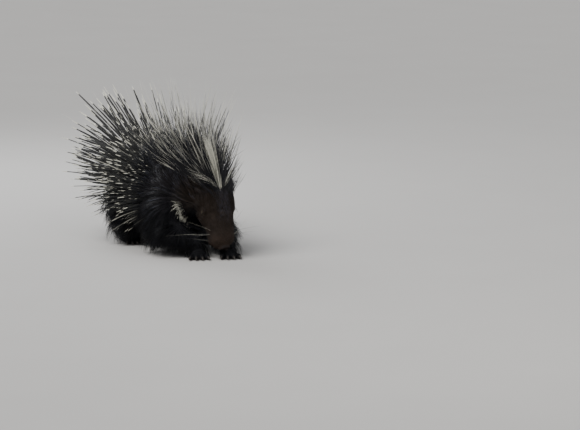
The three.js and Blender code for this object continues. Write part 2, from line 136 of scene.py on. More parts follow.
# Limbs: each line from shoulder or hip down, its radii, and where each foot stands and points
ARMS = {
    "left": ([(96, 64, 120), (108, 70, 78), (164, 54, 56), (220, 50, 30)], (246, 43), -22),
    "right": ([(88, -68, 120), (98, -84, 78), (150, -70, 56), (190, -34, 30)], (214, -38), -24),
}
THIGHS = {
    "left": ([(-136, 72, 118), (-82, 84, 78), (-120, 86, 48), (-136, 84, 26)], (-98, 86), 7),
    "right": ([(-152, -72, 118), (-98, -84, 78), (-136, -86, 48), (-152, -84, 26)], (-114, -86), -7),
}
ARM_RADII = (54, 46, 34, 25)
THIGH_RADII = (68, 54, 32, 22)
FOREPAW = {"long": 60, "wide": 46, "tall": 30, "toes": 4, "toe_long": 19, "toe_radius": 8, "spread": 12}
HINDFOOT = {"long": 88, "wide": 46, "tall": 31, "toes": 5, "toe_long": 17, "toe_radius": 7.6, "spread": 10}
CLAW = (17, 3.6)
TAIL_ROOT = (-238, 0, 134)
TAIL = (96, 30, 46)

# How deep the skin lies under each part's lying coat
COAT = {"trunk": 15, "neck": 13, "head": 2.6, "limb": (9, 2.5), "foot": 0.8, "tail": 7, "ear": 0.5}
FINE, MIDDLING, COARSE = 1.9, 3.0, 7.0  # steps of the planes that the skin is found on: head, feet, trunk
BOX_ROOM = np.array([20, 14, 14])  # how far strands may end outside the solids' box
PATCH = 0.003  # width of one strand's patch on its bake map
FLOOR_ROOM = 2.2  # lowest that a strand's middle line may lie
ROOT_DEPTH = 2  # how far under the skin bristles start

# Quill fan: how far forward it comes and how far round from the top of the back, in degrees
QUILL_FRONT, QUILL_REACH = 10, 119
# How far a quill rises along the normal for each length that it runs back: on top and low down of the body
ROOT_STAND, TIP_STAND = (1.0, 0.95), (0.76, 0.85)  # each at the top and low down
QUILL_DROOP = (0.32, 0.95)  # how far it droops low down, at root and tip
QUILL_SHARES = np.array([0, 0.12, 0.35, 0.6, 0.8, 0.92, 0.975, 1])
QUILL_WIDTHS = np.array([0.42, 0.75, 1, 1, 0.94, 0.78, 0.45, 0])  # at those shares of a quill's length
WHIPS = np.array(
    [  # the longest thin hairs of the fan: x, angle from the top, length, stand
        (-196, -24, 270, 1.35),
        (-176, 2, 274, 1.45),
        (-150, -50, 266, 0.75),
        (-120, -84, 218, 0.5),
        (-40, 6, 266, 1.9),
        (-80, 58, 244, 1.0),
        (-150, 88, 218, 0.5),
    ],
    float,
)

WHIPS_EACH = 3  # how many hairs stand at each of those places

# The two kinds of quills: seeds of their places and of their sizes, distance between roots, sides, the names
# of their longest lengths on top and low down and the shortest's share of that, half width and white tip as
# shares of the sizes, how much longer the tip is on top of the back, and how unruly they stand
QUILL_KINDS = {
    "long": {
        "seeds": (6, 124), "spacing": 12.4, "sides": 6, "top": "quill_long", "low": "quill_side",
        "shortest": 0.55, "width": 1.0, "tip": 1.0, "top_tip": 1.9, "spread": 0.075,
    },
    "short": {
        "seeds": (5, 112), "spacing": 11.2, "sides": 5, "top": "quill_short", "low": "quill_short_side",
        "shortest": 0.45, "width": 0.6, "tip": 0.42, "top_tip": 1.3, "spread": 0.12,
    },
}

# Crest, from the crown to the withers: lean back and spread to the sides in degrees, and half width
CREST_LEAN = (22, 14)
CREST_FAN = (50, 38)
CREST_HALF_WIDTH = (15, 56)

# Pale throat band of the right side, which the left side mirrors: its ends, and half widths full and faded
BAND_TOP, BAND_FOOT = np.array([145, -60, 147]), np.array([133, -22, 66])
BAND_WIDE = (6, 12)
MARKS = ("face", "muzzle", "nape", "ridge", "pale")  # markings that the strands carry

# Rattle quills: places along each as shares of its length, and half widths there, from a thin stalk to a tube
RATTLE_SHARES = np.array([0, 0.2, 0.38, 0.46, 0.55, 0.75, 0.94, 0.99, 1.0])
RATTLE_WIDTHS = np.array([0.5, 0.45, 0.5, 1.3, 2.2, 2.6, 2.5, 1.6, 0])

# How a strand's flat side faces where it doesn't follow the skin
UPWARD, FORWARD = (0.1, 0.2, 1.0), (0.3, 0.2, 1.0)

# Camera: how the photo looks at the animal
VIEW_AZIMUTH, VIEW_ELEVATION, VIEW_DISTANCE = 60, 9.5, 7.0
PHOTO_WIDTH, PHOTO_HEIGHT, FOCAL_PIXELS, SENSOR = 580, 430, 2500, 36
NOSE_PIXEL = (224, 247.5)
FLOOR_REACH = 30  # metres from the animal to the floor's edge


def length_of(name, description, default):
    """A length in metres that a user may change."""
    return FloatProperty(name=name, description=description, default=default, unit="LENGTH")


class PorcupineSizes(bpy.types.PropertyGroup):
    """Lengths and widths of the coat."""

    quill_long: length_of("Quill length", "Longest back quills", 0.298)
    quill_side: length_of("Flank quills", "Longest quills low on the flank", 0.178)
    quill_short: length_of("Short quills", "Longest of the short quills on the back", 0.132)
    quill_short_side: length_of("Short flank quills", "Longest of the short quills low on the flank", 0.112)
    quill_radius: length_of("Quill radius", "Of a back quill where it is thickest", 0.0022)
    quill_tip: length_of("White tip", "Mean length of a quill's white tip", 0.0138)
    crest_front: length_of("Crown crest", "Bristle length on the crown", 0.150)
    crest_back: length_of("Nape crest", "Bristle length on the withers", 0.285)
    bristle_long: length_of("Bristle length", "Of the black coat on the flanks", 0.074)
    bristle_radius: length_of("Bristle radius", "Half width of one flat bristle", 0.0009)
    fur_long: length_of("Face fur length", "Of the short hair on the cheeks", 0.011)
    whisker_long: length_of("Whisker length", "Of the longest whisker", 0.178)


def shade_of(name, description, default):
    """A colour that a user may change."""
    return FloatVectorProperty(
        name=name, description=description, default=default, subtype="COLOR", size=3, min=0, max=1
    )


class PorcupineColours(bpy.types.PropertyGroup):
    """Colours of the skin, the coat and the horn."""

    black: shade_of("Bristle black", "Flanks, legs and chest", (0.0036, 0.0038, 0.0068))
    # Blue-grey of worn tips and of the grizzled ridge; on the bristles' tips it also stands for painted sheen.
    grizzle: shade_of("Bristle grey", "Worn tips of the black coat", (0.094, 0.105, 0.146))
    nape: shade_of("Nape brown", "Bristles of the neck and shoulder", (0.016, 0.0135, 0.0155))
    face: shade_of("Face brown", "Short fur of the cheeks and brow", (0.026, 0.0178, 0.0130))
    muzzle: shade_of("Muzzle tan", "Short fur at the end of the muzzle", (0.032, 0.0205, 0.0145))
    cream: shade_of("Cream", "White quill tips, crest hair and throat band", (0.87, 0.85, 0.73))
    quill_dark: shade_of("Quill dark", "Dark bands of the quills", (0.0085, 0.0090, 0.0085))
    bare: shade_of("Bare skin", "Nose, ears and soles", (0.021, 0.0150, 0.0138))
    # Painted glint: the eyelids' pale ochre is lighter than their skin, for the glint of light at the eye.
    lids_and_glint: shade_of("Eyelids", "Thin skin round the eyes", (0.105, 0.088, 0.050))
    eye: shade_of("Eye", "Dark iris", (0.014, 0.008, 0.005))
    claw: shade_of("Claw", "Horn of the claws", (0.019, 0.016, 0.0135))


def turned(degrees):
    """Rotation about the vertical, for points in rows."""
    c, s = math.cos(math.radians(degrees)), math.sin(math.radians(degrees))
    return np.array([(c, s, 0), (-s, c, 0), (0, 0, 1)])


def unit(vectors):
    """Vectors of length 1."""
    return vectors / np.maximum(np.linalg.norm(vectors, axis=-1, keepdims=True), 1e-12)


def lerp(a, b, share):
    """a where share is 0, b where it is 1, and in a straight line between."""
    return a + (b - a) * share


def ramp(value, low, high):
    """0 up to low, 1 from high, and an even curve between."""
    t = np.clip((value - low) / (high - low), 0, 1)
    return t * t * (3 - 2 * t)


def eased(at, places, values):
    """A smooth curve through rows of sizes, whose slope at each row comes from that row's neighbours."""
    last = len(places) - 1
    ahead, behind = np.minimum(np.arange(last + 1) + 1, last), np.maximum(np.arange(last + 1) - 1, 0)
    slope = (values[ahead] - values[behind]) / (places[ahead] - places[behind])
    i = np.clip(np.searchsorted(places, at) - 1, 0, last - 1)
    span = places[i + 1] - places[i]
    t = np.clip((at - places[i]) / span, 0, 1)
    t2, t3 = t * t, t * t * t
    near = (2 * t3 - 3 * t2 + 1) * values[i] + (t3 - 2 * t2 + t) * span * slope[i]
    return near + (3 * t2 - 2 * t3) * values[i + 1] + (t3 - t2) * span * slope[i + 1]


def rows_at(table, at):
    """The sizes of a table of sections, eased to each place along it."""
    return (eased(at, table[:, 0], table[:, k]) for k in range(1, table.shape[1]))


# Head frame, in rows: back from the nose, to the animal's left, and out of the brow
LEAN = math.radians(HEAD_LEAN)
HEAD_AXES = np.array(
    [(-math.sin(LEAN), 0, math.cos(LEAN)), (0, 1, 0), (math.cos(LEAN), 0, math.sin(LEAN))]
) @ turned(HEAD_TURN)


def on_head(back, aside, rise):
    """The animal's own place of a point that is given in the head frame."""
    return NOSE + np.array([back, aside, rise], float) @ HEAD_AXES


def to_head(p):
    """Points in the head frame: back from the nose, aside and rise."""
    return (p - NOSE) @ HEAD_AXES.T


# Shapes: distances in millimetres from their surface, negative inside, worked out for whole arrays of points


def merged(a, b, blend):
    """Union of two shapes with a fillet of about that size where they meet."""
    h = np.clip(blend - np.abs(a - b), 0, None) / blend
    return np.minimum(a, b) - h * h * blend / 4


def carved(a, b, blend):
    """Shape a without shape b, with a rounded edge."""
    return -merged(-a, b, blend)


def superellipse(across, rise, wide, tall, power):
    """1 on the outline where |across/wide| and |rise/tall| to that power add up to 1, less inside."""
    return (np.abs(across / wide) ** power + np.abs(rise / tall) ** power) ** (1 / power)


def capped(q, past, size):
    """A section measure and how far a point is into the end caps, as a distance."""
    return (np.sqrt(q * q + past * past) - 1) * size


def trunk(p):
    """Superelliptic sections along X about a bent middle line, less the coat, with round ends."""
    inset = COAT["trunk"]
    x = np.clip(p[..., 0], TRUNK[0, 0], TRUNK[-1, 0])
    middle, wide, up, down = rows_at(TRUNK, x)
    rise = p[..., 2] - middle
    top = rise > 0
    tall = np.where(top, up, down) - inset
    q = superellipse(p[..., 1], rise, wide - inset, tall, np.where(top, *TRUNK_SQUARE))
    rear = (TRUNK[0, 0] + inset + TRUNK_CAPS[0] - p[..., 0]) / TRUNK_CAPS[0]
    front = (p[..., 0] - TRUNK[-1, 0] + inset + TRUNK_CAPS[1]) / TRUNK_CAPS[1]
    return capped(q, np.maximum(np.maximum(rear, front), 0), np.minimum(wide, tall))


def skull(p):
    """Superelliptic sections along the head's own line, less its fur, with a short nose and a round crown."""
    inset = COAT["head"]
    h = to_head(p)
    back = np.clip(h[..., 0], 0, HEAD_LENGTH)
    wide, up, down, power = rows_at(HEAD, back)
    tall = np.where(h[..., 2] > 0, up, down) - inset
    q = superellipse(h[..., 1], h[..., 2], wide - inset, tall, power)
    nose = (HEAD_CAPS[0] + inset - h[..., 0]) / HEAD_CAPS[0]
    crown = (h[..., 0] - HEAD_LENGTH + inset + HEAD_CAPS[1]) / HEAD_CAPS[1]
    return capped(q, np.maximum(np.maximum(nose, crown), 0), np.minimum(wide, tall))


def ball(p, centre, radii, axes=None):
    """Ellipsoid, with its axes in rows where they aren't the animal's own."""
    off = p - np.asarray(centre, float)
    if axes is not None:
        off = off @ np.asarray(axes).T
    radii = np.asarray(radii, float)
    k = np.linalg.norm(off / radii, axis=-1)
    g = np.linalg.norm(off / radii**2, axis=-1)
    return k * (k - 1) / np.maximum(g, 1e-9)


def rods(p, line, radii, blend=None):
    """Capsules end to end through a line of points, each joint with its own radius."""
    line = [np.asarray(point, float) for point in line]
    whole = None
    for a, b, ra, rb in zip(line, line[1:], radii, radii[1:]):
        t = np.clip((p - a) @ (b - a) / ((b - a) @ (b - a)), 0, 1)
        near = np.linalg.norm(p - a - t[..., None] * (b - a), axis=-1) - lerp(ra, rb, t)
        whole = near if whole is None else merged(whole, near, blend or 0.4 * min(ra, rb))
    return whole


def neck_line(count=6):
    """Points of the bent line from inside the withers to inside the head, with their radii."""
    t = np.linspace(0, 1, count)[:, None]
    start, bend, end = np.array(NECK[0]), np.array(NECK[1]), on_head(*NECK_AT_HEAD)
    return (1 - t) ** 2 * start + 2 * t * (1 - t) * bend + t * t * end, lerp(*NECK_RADII, t[:, 0])


def neck(p):
    """Tapering capsules along the neck's line, less the coat."""
    line, radii = neck_line()
    return rods(p, line, radii - COAT["neck"], 20)


def limb(p, line, radii):
    """Tapering capsules from shoulder or hip to the foot, less a coat that thins downwards."""
    inset = np.linspace(*COAT["limb"], len(radii))
    return rods(p, line, np.array(radii) - inset, 14)


def tail(p):
    """Tapering capsules along a line that runs back and drops with the square of the share along."""
    t = np.linspace(0, 1, 5)
    long, radius, drop = TAIL
    line = np.array(TAIL_ROOT) + np.stack([-long * t, 0 * t, -drop * t * t], 1)
    radii = radius * (1 - 0.35 * t) * 0.92 - COAT["tail"]
    line[-1, 0] += radii[-1]
    return rods(p, line, radii)


def toe_places(size):
    """Each toe's root and direction in its foot's own frame: forward and aside of the foot's middle."""
    off = np.arange(size["toes"]) - (size["toes"] - 1) / 2
    angle = np.radians(off * size["spread"])
    apart = size["wide"] * 0.88 / (size["toes"] - 1)
    roots = np.stack([size["long"] / 2 - 9 - 1.8 * off * off, off * apart], 1)
    return roots, np.stack([np.cos(angle), np.sin(angle)], 1)


def foot(p, size, at, turn):
    """A flat sole with a pad under the toes, and toes that part in front."""
    own = (p - np.array([*at, 0])) @ turned(-turn)
    long, wide, tall = size["long"], size["wide"], size["tall"]
    inset = COAT["foot"]
    forward = own[..., 0] / long + 0.5
    half = np.clip(wide / 2 * (0.82 + 0.2 * forward) - inset, 4, None)
    top = np.clip(tall * (1.1 - 0.28 * forward) - inset, 5, None)
    q = superellipse(own[..., 1], own[..., 2] - 0.25 * top, half, 0.75 * top, 2.4)
    past = np.maximum(np.abs(own[..., 0]) - long / 2 + 0.24 * long, 0) / (0.24 * long - inset)
    whole = capped(q, past, 0.7 * top)
    roots, ways = toe_places(size)
    radius = size["toe_radius"] - inset
    for root, way in zip(roots, ways):
        start = np.array([*(root - 6 * way), 1.15 * radius])
        knuckle = np.array([*(root + 0.42 * size["toe_long"] * way), 1.25 * radius])
        end = np.array([*(root + (size["toe_long"] - 0.8 * radius) * way), 0.82 * radius])
        toe = rods(own, [start, knuckle, end], radius * np.array([0.86, 0.86, 0.78]), 2)
        whole = merged(whole, toe, 2.6)
    return whole


# The skin: the shapes brought together on a grid of planes, then one closed surface drawn where they are 0


def grid_planes():
    """Planes across X, Y and Z, close together where the head and paws are and wider apart elsewhere."""

    def planes(*spans):
        """Planes from the low end of each span up to its high end, by its own step."""
        return np.concatenate([np.arange(low, high - 0.4 * step, step) for low, high, step in spans])

    return (
        planes((-345, -146, COARSE), (-146, -34, MIDDLING), (-34, 150, COARSE), (150, 292, FINE)),
        planes(
            (-142, -110, COARSE),
            (-110, -62, MIDDLING),
            (-62, 84, FINE),
            (84, 112, MIDDLING),
            (112, 142, COARSE),
        ),
        planes((-4, 212, FINE), (212, 268, COARSE)),
    )


class Field:
    """Distances at the crossings of the planes, worked on one window at a time."""

    def __init__(self, planes):
        self.planes = planes
        self.value = np.full([len(line) for line in planes], 80.0)

    def window(self, shape_at, low, high, join):
        """Applies join(old, shape_at(points)) where the box from low to high is."""
        spans = [slice(*np.searchsorted(line, (a, b))) for line, a, b in zip(self.planes, low, high)]
        if any(span.start >= span.stop for span in spans):
            return
        lines = [line[span] for line, span in zip(self.planes, spans)]
        points = np.stack(np.meshgrid(*lines, indexing="ij"), -1)
        self.value[tuple(spans)] = join(self.value[tuple(spans)], shape_at(points))

    def add(self, shape_at, low, high, blend):
        """Merges a shape in, with a fillet of that size."""
        self.window(shape_at, low, high, lambda old, new: merged(old, new, blend))

    def cut(self, shape_at, low, high, blend):
        """Carves a shape out, with an edge rounded by that size."""
        self.window(shape_at, low, high, lambda old, new: carved(old, new, blend))

    def near(self, change, centre, radii, blend, axes=None):
        """Adds or cuts an ellipsoid, in the window round it."""
        reach = max(radii) + 2 * blend + 4
        centre = np.asarray(centre, float)
        change(lambda p: ball(p, centre, radii, axes), centre - reach, centre + reach, blend)


def surface(planes, value):
    """Surface nets: one vertex at the mean of the crossings on the edges of each crossed cell, and one quad
    round each crossed edge, through the four cells that share it."""
    rings, crossings = [], []
    for axis in range(3):
        count = value.shape[axis]
        low = np.take(value, range(count - 1), axis)
        high = np.take(value, range(1, count), axis)
        crossed = (low < 0) != (high < 0)
        at = np.argwhere(crossed)
        low, high = low[crossed], high[crossed]
        point = np.stack([planes[k][at[:, k]] for k in range(3)], 1)
        step = planes[axis][at[:, axis] + 1] - planes[axis][at[:, axis]]
        point[:, axis] += step * low / (low - high)
        ring = []
        for back_u, back_w in ((0, 0), (1, 0), (1, 1), (0, 1)):
            cell = at.copy()
            cell[:, (axis + 1) % 3] -= back_u
            cell[:, (axis + 2) % 3] -= back_w
            ring.append(np.ravel_multi_index(cell.T, value.shape))
        ring = np.stack(ring, 1)
        outwards_down = low > 0
        ring[outwards_down] = ring[outwards_down, ::-1]
        rings.append(ring)
        crossings.append(point)
    ring, crossing = np.concatenate(rings), np.concatenate(crossings)
    cells, quads = np.unique(ring, return_inverse=True)
    quads = quads.reshape(ring.shape)
    near = np.bincount(quads.ravel(), minlength=len(cells))[:, None]
    total = np.stack(
        [np.bincount(quads.ravel(), np.repeat(crossing[:, k], 4), len(cells)) for k in range(3)], 1
    )
    return total / near, quads


# Swellings of each side of the head: back, aside, rise, half sizes and fillet
HEAD_BUMPS = (
    (122, 27, 25, (26, 12, 11), 14),  # brow
    (112, 33, -20, (36, 12, 25), 16),  # cheek
    (30, 21, 0, (22, 12, 19), 9),  # whisker pad
    (13, 9.5, -12, (13, 11, 12), 6),  # upper lip
    (62, 15, 26, (36, 11, 8), 14),  # side of the bridge
)


def head_details(field):
    """Brow, cheeks, lips, nose, eyelids and ears: ellipsoids added or cut at their places on the head."""

    def at(change, back, aside, rise, radii, blend):
        """Changes the field by an ellipsoid along the head's own axes."""
        field.near(change, on_head(back, aside, rise), radii, blend, HEAD_AXES)

    add, cut = field.add, field.cut
    for side in (1, -1):
        for back, aside, rise, radii, blend in HEAD_BUMPS:
            at(add, back, side * aside, rise, radii, blend)
    at(add, 44, 0, -28, (24, 18, 9), 9)  # chin
    at(cut, -2, 0, -14, (9, 0.8, 15), 2.4)  # cleft of the upper lip
    at(cut, 21, 0, -36, (1.8, 20, 10), 2.6)  # mouth
    at(add, 3.5, 0, 8, (7.5, 16.5, 12), 4)  # nose pad
    for side in (1, -1):
        at(add, 1.5, side * 11, 7.5, (6.5, 7.5, 9.5), 2.5)  # wing of the nostril
        at(cut, -5.5, side * 9.8, 9, (6.5, 2.1, 4.6), 1.6)  # nostril
        at(cut, -3.5, side * 13.8, 5.8, (6.5, 3.6, 1.7), 1.4)  # fold behind it
        back, aside, rise = EYE * (1, side, 1)
        at(cut, back, aside + side * 9, rise, (16, 5, 12), 7)  # socket
        at(add, back, aside, rise, (10.4, 8.9, 9.8), 3.5)  # lids
        at(add, back + 1, aside + side * 3, rise + 5.6, (11, 5.2, 3.0), 3.5)  # fold of the upper lid
        at(cut, back, aside + side * 8, rise - 0.6, (6.6, 8, 4.6), 1.0)  # opening between the lids
        ear_shapes(field, side)


def ear_shapes(field, side):
    """A flat ellipsoid that stands out and back from the side of the head, with a bowl cut in its front."""
    c, s = math.cos(math.radians(EAR_TURN)), math.sin(math.radians(EAR_TURN))
    axes = np.array([(c, side * s, 0), (-s, side * c, 0), (0, 0, 1)]) @ HEAD_AXES
    tall, thick, wide = (size - COAT["ear"] for size in EAR_SIZE)
    back, aside, rise = EAR
    field.near(field.add, on_head(back, side * aside, rise), (tall, thick, wide), 3, axes)
    bowl = on_head(back - 5, side * (aside + 6.5), rise + 2)
    field.near(field.cut, bowl, (tall * 0.74, thick * 0.8, wide * 0.7), 2, axes)


def legs():
    """Every limb as (name, line, radii, foot sizes, foot place, foot turn)."""
    for side in SIDES:
        line, at, turn = ARMS[side]
        yield "forepaw_" + side, line, ARM_RADII, FOREPAW, at, turn
        line, at, turn = THIGHS[side]
        yield "hindfoot_" + side, line, THIGH_RADII, HINDFOOT, at, turn


@lru_cache(maxsize=1)
def skin_surface():
    """The skin's vertices in millimetres and its quads: all shapes with fillets, cut off at the floor."""
    field = Field(grid_planes())
    everywhere = (-400, -200, -50), (400, 200, 400)
    field.add(trunk, *everywhere, 1)
    line, radii = neck_line()
    reach = radii.max() + 22
    field.add(neck, line.min(0) - reach, line.max(0) + reach, 26)
    for _, line, radii, *_ in legs():
        low, high, reach = np.min(line, 0), np.max(line, 0), max(radii) + 16
        field.add(lambda p: limb(p, line, radii), low - reach, high + reach, 16)
    field.add(skull, (150, -70, -20), (300, 100, 230), 12)
    head_details(field)
    field.add(tail, (-345, -50, 40), (-200, 50, 190), 12)
    for *_, size, at, turn in legs():
        low = np.array([at[0] - 75, at[1] - 45, -20])
        field.add(lambda p: foot(p, size, at, turn), low, low + (150, 90, 75), 7)
    field.window(lambda p: -p[..., 2], *everywhere, np.maximum)
    return surface(field.planes, field.value)


def part_distances(p):
    """Distance of points from each part's own shape, by the part's name."""
    limbs = [limb(p, line, radii) for _, line, radii, *_ in legs()]
    feet = [foot(p, size, at, turn) for *_, size, at, turn in legs()]
    return {
        "trunk": trunk(p),
        "neck": neck(p),
        "head": skull(p),
        "limb": np.minimum.reduce(limbs),
        "foot": np.minimum.reduce(feet),
        "tail": tail(p),
    }


# Making meshes


def mesh_object(name, points, faces, material, replaces=(), floats=None, uvs=None):
    """A smooth mesh from points in millimetres and (count, corners) arrays of faces, riding on the body."""
    points = (points + ORIGIN) * MM
    mesh = bpy.data.meshes.new(name)
    corners = np.concatenate([f.ravel() for f in faces]).astype(np.int32)
    sizes = np.concatenate([np.full(len(f), f.shape[1]) for f in faces])
    starts = np.concatenate([[0], np.cumsum(sizes)[:-1]]).astype(np.int32)
    mesh.vertices.add(len(points))
    mesh.vertices.foreach_set("co", points.astype(np.float32).ravel())
    mesh.loops.add(len(corners))
    mesh.loops.foreach_set("vertex_index", corners)
    mesh.polygons.add(len(sizes))
    mesh.polygons.foreach_set("loop_start", starts)
    mesh.update(calc_edges=True)
    mesh.shade_smooth()
    for key, values in (floats or {}).items():
        attribute = mesh.attributes.new(key, "FLOAT", "POINT")
        attribute.data.foreach_set("value", values.astype(np.float32).ravel())
    if uvs is not None:
        mesh.uv_layers.new(name="OFBake").uv.foreach_set("vector", uvs.astype(np.float32).ravel())
    mesh.materials.append(material)
    piece = bpy.data.objects.new(name, mesh)
    bpy.context.scene.collection.objects.link(piece)
    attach(piece, "root")
    if replaces:
        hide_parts(*replaces)
    return piece


def tube_faces(steps, sides):
    """Faces of one closed tapered tube, with their corners' places on a patch of the unit square: quads
    between the rings, triangles to the point, and the root's ring. Each ring has that many vertices, counted
    from the root on, and the point comes last."""
    k, s = (a.ravel() for a in np.meshgrid(np.arange(steps - 2), np.arange(sides), indexing="ij"))
    after = (s + 1) % sides
    quads = np.stack([k * sides + s, k * sides + after, (k + 1) * sides + after, (k + 1) * sides + s], 1)
    a, b, up, over = k / (steps - 1), s / sides, 1 / (steps - 1), 1 / sides
    quad_map = np.stack([(b, a), (b + over, a), (b + over, a + up), (b, a + up)], 1).transpose(2, 1, 0)

    s = np.arange(sides)
    last, point, high = (steps - 2) * sides, (steps - 1) * sides, (steps - 2) / (steps - 1)
    tips = np.stack([last + s, last + (s + 1) % sides, np.full(sides, point)], 1)
    tip_map = np.stack([[(b, high), (b + 1 / sides, high), (b + 0.5 / sides, 1)] for b in s / sides])
    root_map = np.stack([[(b, 0) for b in s[::-1] / sides]])
    return (quads, quad_map), (tips, tip_map), (s[None, ::-1], root_map)


def strand_pieces(
    name, spine, radius, flat, look, material, unwrap, replaces=(), sides=3, shares=None
):
    """Closed tapered strands in one mesh. spine (count, steps, 3) holds each one's middle line, whose last
    step is the strand's point, and radius (count, steps) its half width. A section has that many sides and is
    flat times as thick as wide. look holds a value for each strand and which way its flat side faces, unwrap
    each root's place on the skin's own map, and shares how far along each step is. No strand goes below the
    floor."""
    count, steps, _ = spine.shape
    spine = spine.copy()
    spine[..., 2] = np.maximum(spine[..., 2], FLOOR_ROOM)
    tangent = unit(np.gradient(spine, axis=1))
    normal = np.broadcast_to(np.asarray(look["normal"], float), (count, 3))
    aside = unit(np.cross(tangent, normal[:, None, :]))
    rise = np.cross(tangent, aside)
    turn = 2 * np.pi * np.arange(sides) / sides
    ring = np.cos(turn)[:, None] * aside[:, :-1, None] + flat * np.sin(turn)[:, None] * rise[:, :-1, None]
    ring = spine[:, :-1, None] + ring * radius[:, :-1, None, None]
    points = np.concatenate([ring.reshape(count, -1, 3), spine[:, -1:]], 1)
    size = points.shape[1]

    spread = unwrap - unwrap.min(0)
    spread = spread / spread.max(0) * (1 - PATCH)
    offset = (np.arange(count) * size)[:, None, None]
    faces, maps = [], []
    for shape, local in tube_faces(steps, sides):
        faces.append((shape[None] + offset).reshape(-1, shape.shape[1]))
        maps.append((spread[:, None, None] + PATCH * local[None]).reshape(-1, 2))

    shares = np.linspace(0, 1, steps) if shares is None else np.asarray(shares)
    along = np.append(np.repeat(shares[:-1], sides), 1)
    long = np.linalg.norm(np.diff(spine, axis=1), axis=2).sum(1) * MM
    floats = {"along": np.broadcast_to(along, (count, size)), "from_tip": long[:, None] * (1 - along)}
    for key, value in look.items():
        if key != "normal":
            floats[key] = np.repeat(np.broadcast_to(value, count)[:, None], size, 1)
    return mesh_object(
        name, points.reshape(-1, 3), faces, material, replaces, floats, np.concatenate(maps)
    )


class Roots:
    """Places on the skin where strands grow: point, outward normal, and shares of the parts near each."""

    def __init__(self, point, normal):
        self.point, self.normal = point, normal
        self.parts = part_distances(point)
        self.head = to_head(point)

    def __len__(self):
        return len(self.point)

    def where(self, keep):
        """The roots that are kept, with what is known of them."""
        picked = object.__new__(Roots)
        picked.point, picked.normal, picked.head = self.point[keep], self.normal[keep], self.head[keep]
        picked.parts = {name: distance[keep] for name, distance in self.parts.items()}
        return picked

    def share(self, *names, soft=14):
        """How much the named parts make of the skin at each root, from 0 to 1, by their distances."""
        weights = {name: np.exp(-np.clip(distance, -60, 60) / soft) for name, distance in self.parts.items()}
        return sum(weights[name] for name in names) / sum(weights.values())


@lru_cache(maxsize=1)
def skin_faces():
    """Corner points, normals and areas of the skin's quads."""
    points, quads = skin_surface()
    corner = points[quads]
    cross = np.cross(corner[:, 2] - corner[:, 0], corner[:, 3] - corner[:, 1])
    area = np.linalg.norm(cross, axis=1) / 2
    normal = np.zeros_like(points)
    for k in range(4):
        np.add.at(normal, quads[:, k], cross)
    return corner, unit(normal)[quads], area


def scatter(spacing, seed, low=(-400, -200, 3), high=(400, 200, 400)):
    """Roots about spacing millimetres apart on the skin between two corners: points at random by area, and
    then only the first in each cell of that size."""
    corner, normal, area = skin_faces()
    middle = corner.mean(1)
    inside = ((middle > low) & (middle < high)).all(1)
    random = np.random.default_rng(seed)
    chance = area * inside
    count = int(3 * chance.sum() / spacing**2)
    pick = random.choice(len(area), count, p=chance / chance.sum())
    u, v = random.random((2, count, 1))

    def at(values):
        """The mean of the corners' values at the place u, v on each picked quad, weighted by straight lines."""
        values = values[pick]
        return lerp(lerp(values[:, 0], values[:, 1], u), lerp(values[:, 3], values[:, 2], u), v)

    point = at(corner)
    cell = np.floor(point / (spacing * 1.15)).astype(int)
    _, first = np.unique(cell, axis=0, return_index=True)
    first.sort()
    return Roots(point[first], unit(at(normal)[first]))


def body_map(p):
    """An unwrap of the skin: how far along the body's line a point is, and its angle round that line."""
    head = to_head(p)
    on_the_head = p[:, 0] > 165
    along = np.where(on_the_head, 1.2 - head[:, 0] / 500, (p[:, 0] + 340) / 600)
    up = np.where(on_the_head, head[:, 2], p[:, 2] - 140)
    return np.stack([along, np.arctan2(p[:, 1], up) / (2 * np.pi)], 1)


def lie_of(roots):
    """The way the coat lies: back from the nose over the head, up and back over the nape, back along the
    trunk and a little up above and down below, down the legs, forward over the feet."""
    height = ramp(roots.point[:, 2], 60, 240)[:, None]
    nape = ramp(roots.point[:, 2], 90, 225)[:, None]
    ways = {
        "trunk": lerp(np.array([-0.85, 0, -0.62]), np.array([-0.82, 0, 0.5]), height),
        "neck": lerp(np.array([-0.75, 0, -0.55]), np.array([-0.55, 0, 1.0]), nape),
        "head": np.broadcast_to(HEAD_AXES[0], roots.point.shape),
        "limb": np.broadcast_to([-0.45, 0, -0.9], roots.point.shape),
        "foot": np.broadcast_to([0.9, 0, -0.25], roots.point.shape),
        "tail": np.broadcast_to([-1, 0, -0.45], roots.point.shape),
    }
    way = sum(roots.share(name)[:, None] * ways[name] for name in ways)
    return unit(way - roots.normal * (way * roots.normal).sum(1, keepdims=True))


def lying(roots, way, long, lift, steps, random, ruffle, hug, bend, sag=0.0):
    """Middle lines of strands that rise from the skin by lift (a slope), then bend back along it by the share
    bend of that. ruffle turns each aside at random, hug is the radius of the body that they follow, and sag
    is their droop, as a share of length."""
    across = np.cross(roots.normal, way)
    way = unit(way + across * random.normal(0, ruffle, (len(roots), 1)))
    t = np.linspace(0, 1, steps)[None, :, None]
    long, lift, sag = long[:, None, None], lift[:, None, None], np.reshape(sag, (-1, 1, 1))
    out = lift * t - (bend * lift + long / (2 * hug)) * t * t
    line = way[:, None] * t + roots.normal[:, None] * out
    curl = random.normal(0, 0.05, (len(roots), 1, 1)) * across[:, None] * t * t
    droop = np.array([0, 0, -1.0]) * sag * t * t
    return roots.point[:, None] - ROOT_DEPTH * roots.normal[:, None] + long * (line + curl + droop)


def upright(tilt, fan):
    """Directions tilted back from straight up and fanned to the left, by angles in degrees."""
    tilt, fan = np.radians(tilt), np.radians(fan)
    return unit(np.stack([-np.sin(tilt), np.sin(fan), np.cos(tilt) * np.cos(fan)], 1))


